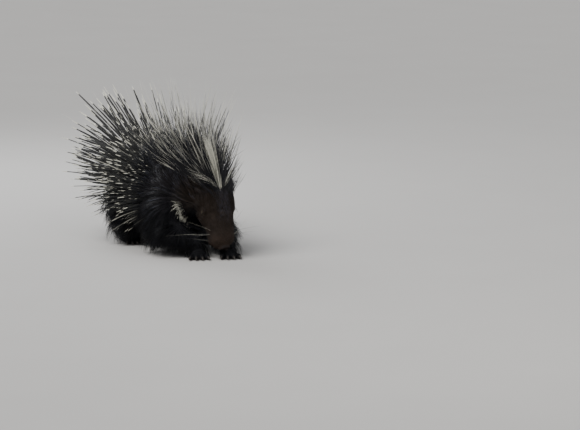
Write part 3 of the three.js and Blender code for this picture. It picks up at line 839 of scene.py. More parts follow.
def standing(roots, way, long, bend, wander, steps, random):
    """Middle lines of strands that leave the skin along way, and then bend off it by the square of the share
    along: all by bend, and each by its own wander."""
    curl = np.array(bend) + random.normal(0, wander, (len(roots), 1, 3))
    t = np.linspace(0, 1, steps)[None, :, None]
    start = roots.point - ROOT_DEPTH * roots.normal
    return start[:, None] + long[:, None, None] * (way[:, None] * t + curl * t * t)


def clumps(roots, size, random):
    """The number of the tuft that each root belongs to: one for each cell of that size."""
    cell = np.floor(roots.point / size + random.random(3)).astype(int)
    return np.unique(cell, axis=0, return_inverse=True)[1].ravel()


def of_clumps(group, low, high, random):
    """One random number for each tuft, given to all its strands."""
    return random.uniform(low, high, group.max() + 1)[group]


def drawn_together(line, group, pull):
    """Strands whose tips are drawn towards the mean line of their tuft, by the share pull at the tip."""
    count, steps, _ = line.shape
    members = np.bincount(group)
    flat = line.reshape(count, -1)
    mean = np.zeros((len(members), flat.shape[1]))
    np.add.at(mean, group, flat)
    mean = (mean / members[:, None])[group].reshape(line.shape)
    t = np.linspace(0, 1, steps)[None, :, None]
    return line + pull * t**1.4 * (mean - line)


def tapered(count, steps, radius, fullest, root):
    """Half widths of strands: root times the full width at the skin, full at the share fullest, and then
    narrower by the power 1.7 of the share left to the tip."""
    t = np.linspace(0, 1, steps)
    narrowing = 1 - np.clip((t - fullest) / (1 - fullest), 0, 1) ** 1.7
    shape = np.where(t < fullest, lerp(root, 1, ramp(t, 0, fullest)), narrowing)
    return np.broadcast_to(radius, count)[:, None] * shape[None]


# Markings: the same on the skin and on the coat that grows from it


def band_at(p):
    """How much of the pale throat band is at each point, by its distance from the band on either side."""
    share = 0
    band = BAND_FOOT - BAND_TOP
    for own in (p, p * (1, -1, 1)):
        t = np.clip((own - BAND_TOP) @ band / np.sum(band**2), 0, 1)
        far = np.linalg.norm(own - BAND_TOP - t[:, None] * band, axis=1)
        share = share + 1 - ramp(far, *BAND_WIDE)
    return np.clip(share, 0, 1)


def markings(roots):
    """Share of each colour at each root: face brown, muzzle tan, nape brown, grizzled ridge, throat cream, bare
    skin, and the eyelids, whose pale ochre is a painted glint. The face's brown runs on over the cheek to the
    front of the neck."""
    back, aside, rise = roots.head.T
    height = roots.point[:, 2]
    skull_share = roots.share("head", soft=7)
    face = ramp(skull_share, 0.35, 0.75)
    throat = 1 - face
    cheek = (1 - ramp(roots.parts["head"], 14, 36)) * ramp(height, 118, 150) * ramp(back, 90, 120)
    face = np.maximum(face, 0.9 * cheek)
    pad = 1 - ramp(ball(roots.head, (1, 0, 8), (8, 17, 13)), -1, 2.5)
    ears, lids_and_glint = 0, 0
    for side in (1, -1):
        bowl, eye = EAR * (1, side, 1) + (-3, side * 8, 2), EYE * (1, side, 1)
        ears = ears + 1 - ramp(np.linalg.norm(roots.head - bowl, axis=1), 8, 15)
        # Eyelids: bare skin round each eye, coloured pale ochre as a painted glint.
        lids_and_glint = lids_and_glint + 1 - ramp(np.linalg.norm(roots.head - eye, axis=1), 8.6, 11.5)
    soles = 1 - ramp(height, 2, 6)
    along = lerp(0.7 * ramp(back, 55, 110), 1, ramp(back, 112, 150))
    ridge = (1 - ramp(np.abs(aside), 10, 28)) * along * ramp(rise, 10, 30) * ramp(skull_share, 0.3, 0.6)
    return {
        "face": face,
        "muzzle": face * (1 - ramp(back, 14, 52)),
        "nape": ramp(height, 110, 200) * ramp(roots.point[:, 0], 10, 110) * (1 - face),
        "ridge": ridge,
        "pale": band_at(roots.point) * throat,
        "bare": np.clip(pad + ears + lids_and_glint + soles, 0, 1),
        "lids_and_glint": np.clip(lids_and_glint, 0, 1),
    }


def marked_look(marks, normal, tone):
    """What strands of the coat carry: the markings at their roots, the way they face and their tone."""
    return {"normal": normal, "tone": tone, **{key: marks[key] for key in MARKS}}


# Materials


class Value:
    """A socket of a material, on which arithmetic adds Math nodes."""

    def __init__(self, shade, socket):
        self.shade, self.socket = shade, socket

    def math(self, operation, *others):
        """One Math node on this value and the others."""
        return self.shade.node("Math", {"operation": operation}, (self, *others))

    def __add__(self, other):
        return self.math("ADD", other)

    def __sub__(self, other):
        return self.math("SUBTRACT", other)

    def __rsub__(self, other):
        return self.shade.node("Math", {"operation": "SUBTRACT"}, (other, self))

    def __mul__(self, other):
        return self.math("MULTIPLY", other)

    __radd__, __rmul__ = __add__, __mul__

    def most(self, other):
        """The larger of the two."""
        return self.math("MAXIMUM", other)

    def step(self, low, high):
        """0 up to low, 1 from high, and an even curve between. Either may be a value."""
        settings = {"interpolation_type": "SMOOTHSTEP"}
        return self.shade.node("MapRange", settings, {"Value": self, "From Min": low, "From Max": high})

    def band(self, start, wide, edge):
        """1 from start over a width, 0 before and after, with soft edges."""
        return self.step(start, start + edge) * (1 - self.step(start + wide, start + wide + edge))


class Shade:
    """A material in the making, with its constant sockets set on its shader."""

    def __init__(self, name, **constants):
        self.material = bpy.data.materials.new(name)
        self.material.use_nodes = True
        self.tree = self.material.node_tree
        self.shader = self.tree.nodes["Principled BSDF"]
        for socket, value in constants.items():
            self.shader.inputs[socket.replace("_", " ")].default_value = value

    def node(self, kind, settings=None, sockets=(), out=0):
        """Adds a node: its settings first, then the values or links of its sockets by name or place."""
        node = self.tree.nodes.new("ShaderNode" + kind)
        for key, value in (settings or {}).items():
            setattr(node, key, value)
        named = sockets.items() if isinstance(sockets, dict) else enumerate(sockets)
        for key, value in named:
            self.put(node.inputs[key], value)
        return Value(self, node.outputs[out])

    def put(self, socket, value):
        """Links a value to a socket, or sets a constant on the socket itself."""
        if isinstance(value, Value):
            self.tree.links.new(value.socket, socket)
        elif socket.type == "RGBA":
            socket.default_value = (*value, 1)
        else:
            socket.default_value = value

    def attribute(self, name):
        """The number that the mesh holds at each point under that name."""
        return self.node("Attribute", {"attribute_name": name}, out="Fac")

    def places(self, scale=(1, 1, 1), turn=(0, 0, 0)):
        """Object coordinates, turned and stretched."""
        coords = self.node("TexCoord", out="Object")
        return self.node("Mapping", {}, {"Vector": coords, "Scale": scale, "Rotation": turn})

    def noise(self, scale, detail, places=None):
        """Cloudy noise from 0 to 1, finer with a larger scale and rougher with more detail."""
        sockets = {"Vector": places or self.places(), "Scale": scale, "Detail": detail}
        return self.node("TexNoise", {}, sockets)

    def mix(self, share, a, b):
        """Colour a where share is 0 and b where it is 1."""
        return self.node("Mix", {"data_type": "RGBA"}, {0: share, 6: a, 7: b}, 2)

    def scaled(self, colour, by):
        """A colour times a value."""
        settings = {"operation": "SCALE"}
        return self.node("VectorMath", settings, {0: colour, "Scale": by})

    def finish(self, colour, roughness=None, height=None, depth=0.001, strength=1.0):
        """Gives the shader its colour, roughness and the bump of a height, and returns the material."""
        self.put(self.shader.inputs["Base Color"], colour)
        if roughness is not None:
            self.put(self.shader.inputs["Roughness"], roughness)
        if height is not None:
            bump = self.node("Bump", {}, {"Height": height, "Distance": depth, "Strength": strength})
            self.put(self.shader.inputs["Normal"], bump)
        return self.material


def times(by, colour):
    """A constant colour made lighter or darker."""
    return tuple(min(1, by * c) for c in colour)


def marked(shade, colours):
    """The coat's colour from its markings: black, then nape, face, muzzle and the grizzled ridge."""
    patchy = shade.noise(22, 3)
    colour = colours.black
    for mark in ("nape", "face", "muzzle"):
        colour = shade.mix(shade.attribute(mark), colour, getattr(colours, mark))
    streaks = shade.noise(1, 2, shade.places((700, 700, 60), (0, -LEAN, 0)))
    colour = shade.mix(shade.attribute("ridge") * streaks.step(0.42, 0.74), colour, colours.grizzle)
    return shade.scaled(colour, patchy * 0.8 + 0.6)


def hide_material(colours):
    """Skin: darkened under the coat as painted shade between the hairs, with fine lying hair as bump, pores and
    creases where it is bare.
    """
    shade = Shade("porcupine_hide", Specular_IOR_Level=0.22)
    bare = shade.attribute("bare")
    mottle = shade.noise(160, 5)
    # Painted shade: the skin is darker everywhere but the face, for the shade that falls between the hairs of
    # the coat.
    painted_coat_shade = (1 - shade.attribute("face")) * -0.45 + 1
    colour = shade.scaled(marked(shade, colours), painted_coat_shade)
    colour = shade.mix(shade.attribute("pale"), colour, times(0.75, colours.cream))
    skin = shade.mix(mottle, times(0.6, colours.bare), times(1.5, colours.bare))
    # Painted glint: the eyelids take their pale ochre colour here.
    skin = shade.mix(shade.attribute("lids_and_glint"), skin, colours.lids_and_glint)
    colour = shade.mix(bare, colour, skin)
    hair = shade.noise(1, 2, shade.places((1500, 1500, 230), (0, -LEAN, 0)))
    pores = shade.node("TexVoronoi", {}, {"Vector": shade.places(), "Scale": 900})
    height = hair * (1 - bare) + pores * bare * 0.6 + mottle * 0.4
    return shade.finish(colour, mottle * 0.2 + 0.7 - bare * 0.3, height, 0.0006, 0.8)


def bristle_material(colours, name, tip_grey):
    """Flat bristles or short hair: the markings, darker at the root, and blue-grey towards the tips of the
    lighter ones, partly worn tips and partly a painted sheen of the sky on glossy bristles.
    """
    shade = Shade(name, Specular_IOR_Level=0.2)
    along, tone = shade.attribute("along"), shade.attribute("tone")
    colour = shade.scaled(marked(shade, colours), tone * 1.3 + 0.35)
    # Grey tips of the lighter strands: partly real wear, partly a painted bluish sheen.
    wear_and_sheen = along.step(0.25, 0.9) * tone.step(0.55, 0.95) * tip_grey
    colour = shade.mix(wear_and_sheen, colour, colours.grizzle)
    pale = shade.scaled(colours.cream, tone * 0.5 + 0.36)
    colour = shade.mix(shade.attribute("pale"), colour, pale)
    streak = shade.noise(420, 2)
    return shade.finish(colour, streak * 0.2 + 0.32)


def quill_material(colours):
    """Horn in bands counted from the tip: white, then dark with two fainter pale bands, and a pale root."""
    shade = Shade("porcupine_quill", Specular_IOR_Level=0.32, Coat_Weight=0.12, Coat_Roughness=0.3)
    from_tip, tone, tip = shade.attribute("from_tip"), shade.attribute("tone"), shade.attribute("white_tip")
    edge = 0.003
    reach = from_tip + (shade.noise(260, 2) * 0.006 - 0.003)
    white = 1 - reach.step(tip, tip + edge)
    second = tip + 0.055 + 0.03 * tone
    third = second + 0.065
    pale, paler = reach.band(second, 0.014, edge), reach.band(third, 0.018, edge)
    root = 1 - shade.attribute("along").step(0.02, 0.14)
    bands = (pale * 0.22).most(paler * 0.32) * tone.step(0.45, 0.9)
    light = white.most(bands).most(root * 0.4).most(shade.attribute("light"))
    dark = shade.mix(tone, times(0.6, colours.quill_dark), times(1.5, colours.quill_dark))
    cream = shade.scaled(colours.cream, shade.noise(55, 3) * 0.5 + 0.68)
    colour = shade.mix(light, dark, cream)
    grooves = shade.noise(700, 2)
    return shade.finish(colour, grooves * 0.2 + 0.33, grooves, 0.0002, 0.5)


def crest_material(colours):
    """Long bristles, black with grey towards whitish tips, or cream from root to tip where light is 1."""
    shade = Shade("porcupine_crest", Specular_IOR_Level=0.42)
    from_tip, tone, white = shade.attribute("from_tip"), shade.attribute("tone"), shade.attribute("white_tip")
    tip = 1 - from_tip.step(white, white + 0.025)
    grey = shade.attribute("along").step(0.35, 1.0) * tone.step(0.45, 0.95)
    colour = shade.mix(grey, times(1.3, colours.black), times(1.5, colours.grizzle))
    cream = shade.scaled(colours.cream, shade.noise(40, 3) * 0.4 + 0.78)
    colour = shade.mix(shade.attribute("light").most(tip * 0.85), colour, cream)
    return shade.finish(colour, shade.noise(300, 2) * 0.2 + 0.38)


def claw_material(colours):
    """Dark horn, paler and rubbed towards the tip, with growth lines along it."""
    shade = Shade("porcupine_claw", Specular_IOR_Level=0.5)
    along = shade.attribute("along")
    streak = shade.noise(340, 4)
    rubbed = along.step(0.3, 1.0) * 0.7 + streak * 0.3
    colour = shade.mix(rubbed, colours.claw, times(2.6, colours.claw))
    return shade.finish(colour, 0.5 - along * 0.18 + streak * 0.1, streak, 0.0003, 0.6)


def eye_material(colours):
    """A dark brown iris round a black pupil, under a wet coat."""
    shade = Shade("porcupine_eye", Specular_IOR_Level=0.6, Coat_Weight=1.0, Coat_Roughness=0.03)
    gaze = shade.attribute("gaze")
    fibres = shade.noise(900, 3)
    iris = shade.mix(fibres, colours.eye, times(3.5, colours.eye))
    colour = shade.mix(gaze.step(0.9, 0.94), iris, (0.002, 0.002, 0.002))
    white = shade.mix(fibres, (0.05, 0.03, 0.022), (0.09, 0.06, 0.045))
    colour = shade.mix(1 - gaze.step(0.4, 0.5), colour, white)
    return shade.finish(colour, fibres * 0.05 + 0.08)


def whisker_material(colours):
    """Stiff hair, pale or dark by its own tone."""
    shade = Shade("porcupine_whisker", Specular_IOR_Level=0.5)
    light = shade.attribute("light") * (shade.noise(60, 2) * 0.4 + 0.6)
    colour = shade.mix(light, times(2, colours.black), colours.cream)
    return shade.finish(colour, shade.noise(300, 2) * 0.2 + 0.3)


# Where the coat grows and how it stands


def trunk_place(p):
    """Angle round the trunk from the top of the back, in degrees, positive to the left."""
    middle, wide, up, down = rows_at(TRUNK, np.clip(p[:, 0], TRUNK[0, 0], TRUNK[-1, 0]))
    rise = p[:, 2] - middle
    return np.degrees(np.arctan2(p[:, 1] / wide, rise / np.where(rise > 0, up, down)))


def on_trunk(x, angle):
    """The trunk's surface point and outward normal at x, by the angle from the top in degrees."""
    middle, wide, up, down = rows_at(TRUNK, x)
    c, s = np.cos(np.radians(angle)), np.sin(np.radians(angle))
    wide, tall = wide - COAT["trunk"], np.where(c > 0, up, down) - COAT["trunk"]
    point = np.stack([x, s * wide, middle + c * tall], 1)
    return point, unit(np.stack([0 * x, s / wide, c / tall], 1))


def kept_in(point, way, long):
    """Lengths cut so that strands which run that way end inside the solids' box and its room."""
    low, high = (np.array(corner) / MM - ORIGIN for corner in CAD_BOX)
    room = np.where(way > 0, high + BOX_ROOM - point, point - low + BOX_ROOM)
    return np.minimum(long, (room / np.maximum(np.abs(way), 0.05)).min(1))


def fanned(point, normal, long, stand, low, random, spread, shares):
    """Middle lines of quills that rise from the skin and then bend back: along the normal by the first stand
    at the root and by the second at the tip, where those on the flanks rise less, and drooping low down."""
    count = len(point)
    jitter = random.normal(0, spread, (count, 3))
    root = normal * stand[0][:, None] + (-1, 0, 0)
    tip = normal * stand[1][:, None] + (-1, 0, 0)
    tip[:, 2] *= lerp(1, 0.3, ramp(np.abs(normal[:, 1]), 0.2, 0.8))
    root[:, 2] -= QUILL_DROOP[0] * low
    tip[:, 2] -= QUILL_DROOP[1] * low
    root, tip = unit(unit(root) + jitter), unit(unit(tip) + jitter)
    long = kept_in(point, (root + tip) / 2, long / lerp(0.86, 1, random.random(count)))
    long = long * lerp(0.86, 1, random.random(count))
    t = shares[None, :, None]
    line = root[:, None] * (t - t * t / 2) + tip[:, None] * t * t / 2
    bow = random.normal(0, 0.03, (count, 1, 3)) * t * (1 - t)
    return point[:, None] - 3 * normal[:, None] + long[:, None, None] * (line + bow)


def quill_lines(roots, long_top, long_side, shortest, spread, random):
    """Quills as long and as steep as their place on the back asks: shorter and steeper in front, and shorter
    on the flanks."""
    x, angle = roots.point[:, 0], np.abs(trunk_place(roots.point))
    side = ramp(angle, 10, 80)
    front = ramp(x, -150, QUILL_FRONT)
    long = lerp(long_top, long_side, side) * lerp(1, 0.62, ramp(x, -110, QUILL_FRONT))
    long *= lerp(shortest, 1, random.random(len(x)) ** 0.55) * (1 - 0.25 * ramp(angle, 95, 112))
    stand = [lerp(*ends, side) * lerp(1, 1.35, front) for ends in (ROOT_STAND, TIP_STAND)]
    low = ramp(angle, 72, 112)
    return fanned(roots.point, roots.normal, long, stand, low, random, spread, QUILL_SHARES)


def crest_line(count=61):
    """Points from the crown over the nape to the withers, on a smooth curve through four of them."""
    marks = np.array([on_head(158, 0, 44), on_head(192, 0, 34), (150, 4, 240), (56, 0, 254)])
    t = np.linspace(0, 1, count)
    return np.stack([eased(t, np.linspace(0, 1, 4), marks[:, k]) for k in range(3)], 1)


def on_crest(roots):
    """How far back along the crest each root is, how far to its side, and whether it is on the crest: shares
    by the nearest point of the crest's line."""
    line = crest_line()
    far = np.linalg.norm(roots.point[:, None] - line[None], axis=2)
    nearest = np.argmin(far, 1)
    t = nearest / (len(line) - 1)
    share = (roots.point[:, 1] - line[nearest, 1]) / lerp(*CREST_HALF_WIDTH, t)
    keep = (np.abs(share) < 1) & (roots.normal[:, 2] > -0.2) & (far.min(1) < 60) & (t < 0.999)
    return t, share, keep


def sized(context):
    """The scene's sizes, in millimetres, and its colours."""
    group = context.scene.porcupine_sizes
    sizes = {key: getattr(group, key) / MM for key in PorcupineSizes.__annotations__}
    return sizes, context.scene.porcupine_colours


def of_sides(roots):
    """The roots of each side, with that side's name."""
    for side, sign in SIDES.items():
        yield side, roots.where(roots.point[:, 1] * sign > 0)


def globe(around, rings):
    """Directions over a sphere, ring by ring from +Z with its two poles last, and its quads and two fans."""
    tilt = np.pi * np.arange(1, rings)[:, None] / rings
    turn = 2 * np.pi * np.arange(around)[None, :] / around
    ways = [np.sin(tilt) * np.cos(turn), np.sin(tilt) * np.sin(turn), np.cos(tilt) + 0 * turn]
    ways = np.stack(ways, -1).reshape(-1, 3)
    k, s = (a.ravel() for a in np.meshgrid(np.arange(rings - 2), np.arange(around), indexing="ij"))
    near, far, after = k * around, (k + 1) * around, (s + 1) % around
    quads = np.stack([near + s, far + s, far + after, near + after], 1)
    s, last, pole = np.arange(around), (rings - 2) * around, len(ways)
    after = (s + 1) % around
    front = np.stack([s, after, np.full(around, pole)], 1)
    back = np.stack([last + after, last + s, np.full(around, pole + 1)], 1)
    return np.concatenate([ways, [(0, 0, 1), (0, 0, -1)]]), [quads, front, back]


class AddSkin(bpy.types.Operator):
    """One closed skin over trunk, neck, head, ears, legs, feet and tail"""

    bl_idname = "porcupine.skin"
    bl_label = "Skin"

    def execute(self, context):
        points, quads = skin_surface()
        normal = np.zeros_like(points)
        normal[quads] = skin_faces()[1]
        marks = markings(Roots(points, normal))
        flesh = ["rump", "belly", "chest", "neck", "head", "nose", "tail"]
        paired = ("ear", "foreleg", "hindleg", "forepaw", "hindfoot")
        flesh += [f"{part}_{side}" for part in paired for side in SIDES]
        material = hide_material(context.scene.porcupine_colours)
        mesh_object("skin", points, [quads], material, flesh, marks)
        return {"FINISHED"}


class AddEyes(bpy.types.Operator):
    """Eyeballs with a slight bulge of the cornea where they look out"""

    bl_idname = "porcupine.eyes"
    bl_label = "Eyes"

    def execute(self, context):
        material = eye_material(context.scene.porcupine_colours)
        ways, faces = globe(40, 26)
        radius = EYE_RADIUS * (1 + CORNEA * ramp(ways[:, 2], 0.78, 1))
        for side, sign in SIDES.items():
            gaze = unit(np.array(GAZE) * (1, sign, 1) @ HEAD_AXES)
            across = unit(np.cross(gaze, HEAD_AXES[0]))
            axes = np.stack([across, np.cross(across, gaze), gaze])
            points = on_head(*EYE * (1, sign, 1)) + radius[:, None] * (ways @ axes)
            floats = {"gaze": ways[:, 2]}
            mesh_object("eyeball_" + side, points, faces, material, ["eye_" + side], floats)
        return {"FINISHED"}


class AddClaws(bpy.types.Operator):
    """A curved horn claw on every toe"""

    bl_idname = "porcupine.claws"
    bl_label = "Claws"

    def execute(self, context):
        material = claw_material(context.scene.porcupine_colours)
        t = np.linspace(0, 1, 12)
        long, radius = CLAW
        thick = 1.05 * radius * (1 - t**2.2) * (1 - 0.25 * t)
        for name, _, _, size, at, turn in legs():
            roots, ways = toe_places(size)
            level = np.zeros(len(roots))
            start = roots + (size["toe_long"] - 6.5) * ways
            start = np.column_stack([start, level + 0.98 * size["toe_radius"]])
            spine = start[:, None] + 1.12 * long * np.column_stack([ways, level])[:, None] * t[:, None]
            spine[..., 2] += 3.0 * t - 8.6 * t * t
            spine = spine @ turned(turn) + (*at, 0)
            claws = [f"{name}_claw_{k + 1}" for k in range(len(roots))]
            strand_pieces(
                "claws_" + name, spine, np.broadcast_to(thick, spine.shape[:2]), 1.15, {"normal": (0, 0, -1)},
                material, roots + (0, 1), claws, sides=9,
            )
        return {"FINISHED"}


class AddQuills(bpy.types.Operator):
    """The fan of stout dark quills with white tips over back and flanks, and the short ones among them"""

    bl_idname = "porcupine.quills"
    bl_label = "Quills"

    def execute(self, context):
        sizes, colours = sized(context)
        material = quill_material(colours)
        for kind, own in QUILL_KINDS.items():
            random = np.random.default_rng(own["seeds"][1])
            for side, roots in of_sides(self.places(kind, own, random)):
                self.fan(kind, own, side, roots, sizes, material, random)
        self.whips(material)
        return {"FINISHED"}

    def places(self, kind, own, random):
        """Roots on the back and flanks up to an uneven front edge. On top, the long quills are few in front
        and the short ones come farther forward."""
        roots = scatter(own["spacing"], own["seeds"][0], (-290, -200, 30), (60, 200, 400))
        x, angle = roots.point[:, 0], np.abs(trunk_place(roots.point))
        front = QUILL_FRONT + random.normal(0, 14, len(roots))
        if kind == "short":
            front += 30 * ramp(angle, 90, 0)
        keep = (x < front) & (angle < QUILL_REACH) & (roots.share("trunk", "neck") > 0.5)
        if kind == "long":
            crowd = lerp(1.0, 0.14, ramp(x, -180, -50))
            keep &= random.random(len(roots)) < lerp(crowd, 1, ramp(angle, 20, 50))
        return roots.where(keep)

    def fan(self, kind, own, side, roots, sizes, material, random):
        """One side's quills of one kind: thinner in front and underneath, with longer white tips on top."""
        count, angle = len(roots), np.abs(trunk_place(roots.point))
        longest = sizes[own["top"]], sizes[own["low"]]
        line = quill_lines(roots, *longest, own["shortest"], own["spread"], random)
        under = ramp(angle, 92, 108)
        stout = own["width"] * sizes["quill_radius"] * lerp(0.7, 1.1, random.random(count))
        stout *= lerp(0.7, 1, ramp(-roots.point[:, 0], 0, 150)) * (1 - 0.55 * under)
        stout *= lerp(1.1, 0.82, ramp(angle, 20, 70))
        look = {"normal": UPWARD, "tone": random.random(count)}
        white = own["tip"] * sizes["quill_tip"] * MM * lerp(0.55, 1.45, random.random(count))
        look["white_tip"] = white * lerp(own["top_tip"], 1, ramp(angle, 20, 55))
        look["light"] = (random.random(count) < 0.01 + 0.2 * under) * 0.5
        strand_pieces(
            f"quills_{kind}_{side}", line, stout[:, None] * QUILL_WIDTHS, 0.9, look, material,
            body_map(roots.point), ("quills_" + side,) if kind == "long" else (), own["sides"], QUILL_SHARES,
        )

    def whips(self, material):
        """A few long pale hairs that reach past the quills."""
        random = np.random.default_rng(71)
        x, angle, long, stand = np.repeat(WHIPS, WHIPS_EACH, axis=0).T
        count, steps = len(x), 8
        point, normal = on_trunk(x + random.normal(0, 12, count), angle + random.normal(0, 9, count))
        long = long * lerp(0.84, 1, random.random(count))
        stand, low = (1.15 * stand, 0.85 * stand), ramp(np.abs(angle), 75, 115)
        line = fanned(point, normal, long, stand, low, random, 0.05, np.linspace(0, 1, steps))
        look = {"normal": UPWARD, "tone": random.random(count), "white_tip": 0.05, "light": 0.8}
        radius = tapered(count, steps, 0.75, 0.3, 0.7)
        strand_pieces("quill_whips", line, radius, 1.0, look, material, body_map(point), sides=5)


class AddCrest(bpy.types.Operator):
    """Long bristles that fan from the crown over the nape to the withers, cream at the middle of the crown"""

    bl_idname = "porcupine.crest"
    bl_label = "Crest"

    def execute(self, context):
        sizes, colours = sized(context)
        material = crest_material(colours)
        roots = scatter(2.7, 9, (30, -90, 150), (290, 90, 300))
        thick = scatter(1.5, 10, (150, -60, 150), (290, 90, 300))
        self.blaze(thick, sizes, material)
        self.brows(thick, sizes, material)
        t, share, keep = on_crest(roots)
        self.wands(roots.where(keep), t[keep], share[keep], sizes, material)
        random = np.random.default_rng(5)
        keep &= random.random(len(t)) < 1 - 0.4 * ramp(t, 0.3, 1)
        self.bristles(roots.where(keep), t[keep], share[keep], sizes, material, random)
        return {"FINISHED"}

    def bristles(self, roots, t, share, sizes, material, random):
        """Dark bristles: longer towards the withers, and leaning and spreading by their clumps."""
        count, steps = len(roots), 9
        group = clumps(roots, 12, random)
        tilt = lerp(*CREST_LEAN, t) + random.normal(0, 7, count) + of_clumps(group, -9, 9, random)
        fan = share * lerp(*CREST_FAN, t) + random.normal(0, 6, count) + of_clumps(group, -9, 9, random)
        way = upright(tilt, fan)
        fullness = random.random(count) ** lerp(0.9, 1.7, t)
        long = lerp(sizes["crest_front"], sizes["crest_back"], t**0.8)
        long = long * lerp(0.3, 1, fullness) * (1 - 0.15 * np.abs(share))
        light = (random.random(count) < 0.02 * ramp(t, 0.2, 0.4)) * 0.5
        long = kept_in(roots.point, way, long)
        spine = standing(roots, way, long, (-0.10, 0, -0.03), 0.04, steps, random)
        spine = drawn_together(spine, group, 0.22)
        tone = np.clip(0.55 * random.random(count) + of_clumps(group, 0, 0.4, random), 0, 1)
        white = random.random(count) * ramp(fullness, 0.15, 0.75) * ramp(t, -0.25, 0.3)
        look = {
            "tone": tone * lerp(0.6, 1, fullness) * lerp(0.6, 1, ramp(t, 0, 0.35)),
            "light": light,
            "white_tip": lerp(-0.025, 0.06, white),
        }
        radius = tapered(count, steps, 0.72 * lerp(0.7, 1.2, random.random(count)), 0.3, 0.6)
        for side, sign in SIDES.items():
            mine = roots.point[:, 1] * sign > 0
            own = {"normal": FORWARD, **{key: value[mine] for key, value in look.items()}}
            strand_pieces(
                "crest_bristles_" + side, spine[mine], radius[mine], 0.8, own, material,
                body_map(roots.point[mine]), ("crest_" + side,),
            )

    def wands(self, roots, t, share, sizes, material):
        """The longest, stoutest bristles, far apart over the nape and withers, with long whitish tips."""
        random = np.random.default_rng(25)
        keep = (t > 0.28) & (np.abs(share) < 0.85) & (random.random(len(t)) < lerp(0.014, 0.075, t))
        roots, t, share = roots.where(keep), t[keep], share[keep]
        count, steps = len(roots), 10
        tilt = lerp(20, 16, t) + random.normal(0, 11, count)
        way = upright(tilt, 32 * share + np.clip(random.normal(0, 8, count), -14, 14))
        long = lerp(sizes["crest_front"], sizes["crest_back"], t**0.6)
        long = kept_in(roots.point, way, long * lerp(0.7, 1.06, random.random(count) ** 0.8))
        spine = standing(roots, way, long, (-0.08, 0, -0.02), 0.035, steps, random)
        look = {
            "normal": FORWARD,
            "tone": random.random(count),
            "light": lerp(0.08, 0.6, random.random(count) ** 1.5),
            "white_tip": lerp(0.02, 0.095, random.random(count)),
        }
        radius = tapered(count, steps, lerp(0.9, 1.45, random.random(count)), 0.4, 0.7)
        strand_pieces(
            "crest_wands", spine, radius, 0.9, look, material, body_map(roots.point), sides=5
        )

    def brows(self, roots, sizes, material):
        """An arc of cream bristles that sweeps from the middle of the crown down to each side."""
        random = np.random.default_rng(35)
        t, share, keep = on_crest(roots)
        keep &= (t > 0.025) & (t < 0.13) & (np.abs(share) > 0.03) & (np.abs(share) < 0.38)
        keep &= random.random(len(t)) < 0.75
        roots, share = roots.where(keep), share[keep]
        count, steps = len(roots), 9
        way = upright(random.normal(6, 3, count), np.sign(share) * random.normal(42, 4, count))
        long = sizes["crest_front"] * lerp(0.28, 0.78, random.random(count) ** 1.2)
        spine = standing(roots, way, long, (-0.32, 0, -0.28), 0.025, steps, random)
        look = {"normal": FORWARD, "tone": random.random(count), "white_tip": 0.02}
        look["light"] = lerp(0.5, 0.85, random.random(count))
        radius = tapered(count, steps, 0.8, 0.3, 0.6)
        strand_pieces("crest_brows", spine, radius, 0.8, look, material, body_map(roots.point))

    def blaze(self, roots, sizes, material):
        """A narrow upright lock of cream bristles at the middle of the crown."""
        random = np.random.default_rng(15)
        t, share, keep = on_crest(roots)
        keep &= (t < 0.15) & (np.abs(share) < 0.25)
        roots, t, share = roots.where(keep), t[keep], share[keep]
        count, steps = len(roots), 9
        way = upright(random.normal(24, 2.5, count) + 30 * t, 6 * share + random.normal(0, 2.4, count))
        long = sizes["crest_front"] * lerp(0.6, 1.36, random.random(count) ** 0.9)
        spine = standing(roots, way, long, (-0.10, 0, -0.03), 0.03, steps, random)
        look = {"normal": FORWARD, "tone": random.random(count), "white_tip": 0.02}
        look["light"] = lerp(0.7, 1, random.random(count))
        spine = drawn_together(spine, clumps(roots, 9, random), 0.3)
        radius = tapered(count, steps, 0.8, 0.3, 0.6)
        strand_pieces("crest_blaze", spine, radius, 0.8, look, material, body_map(roots.point))


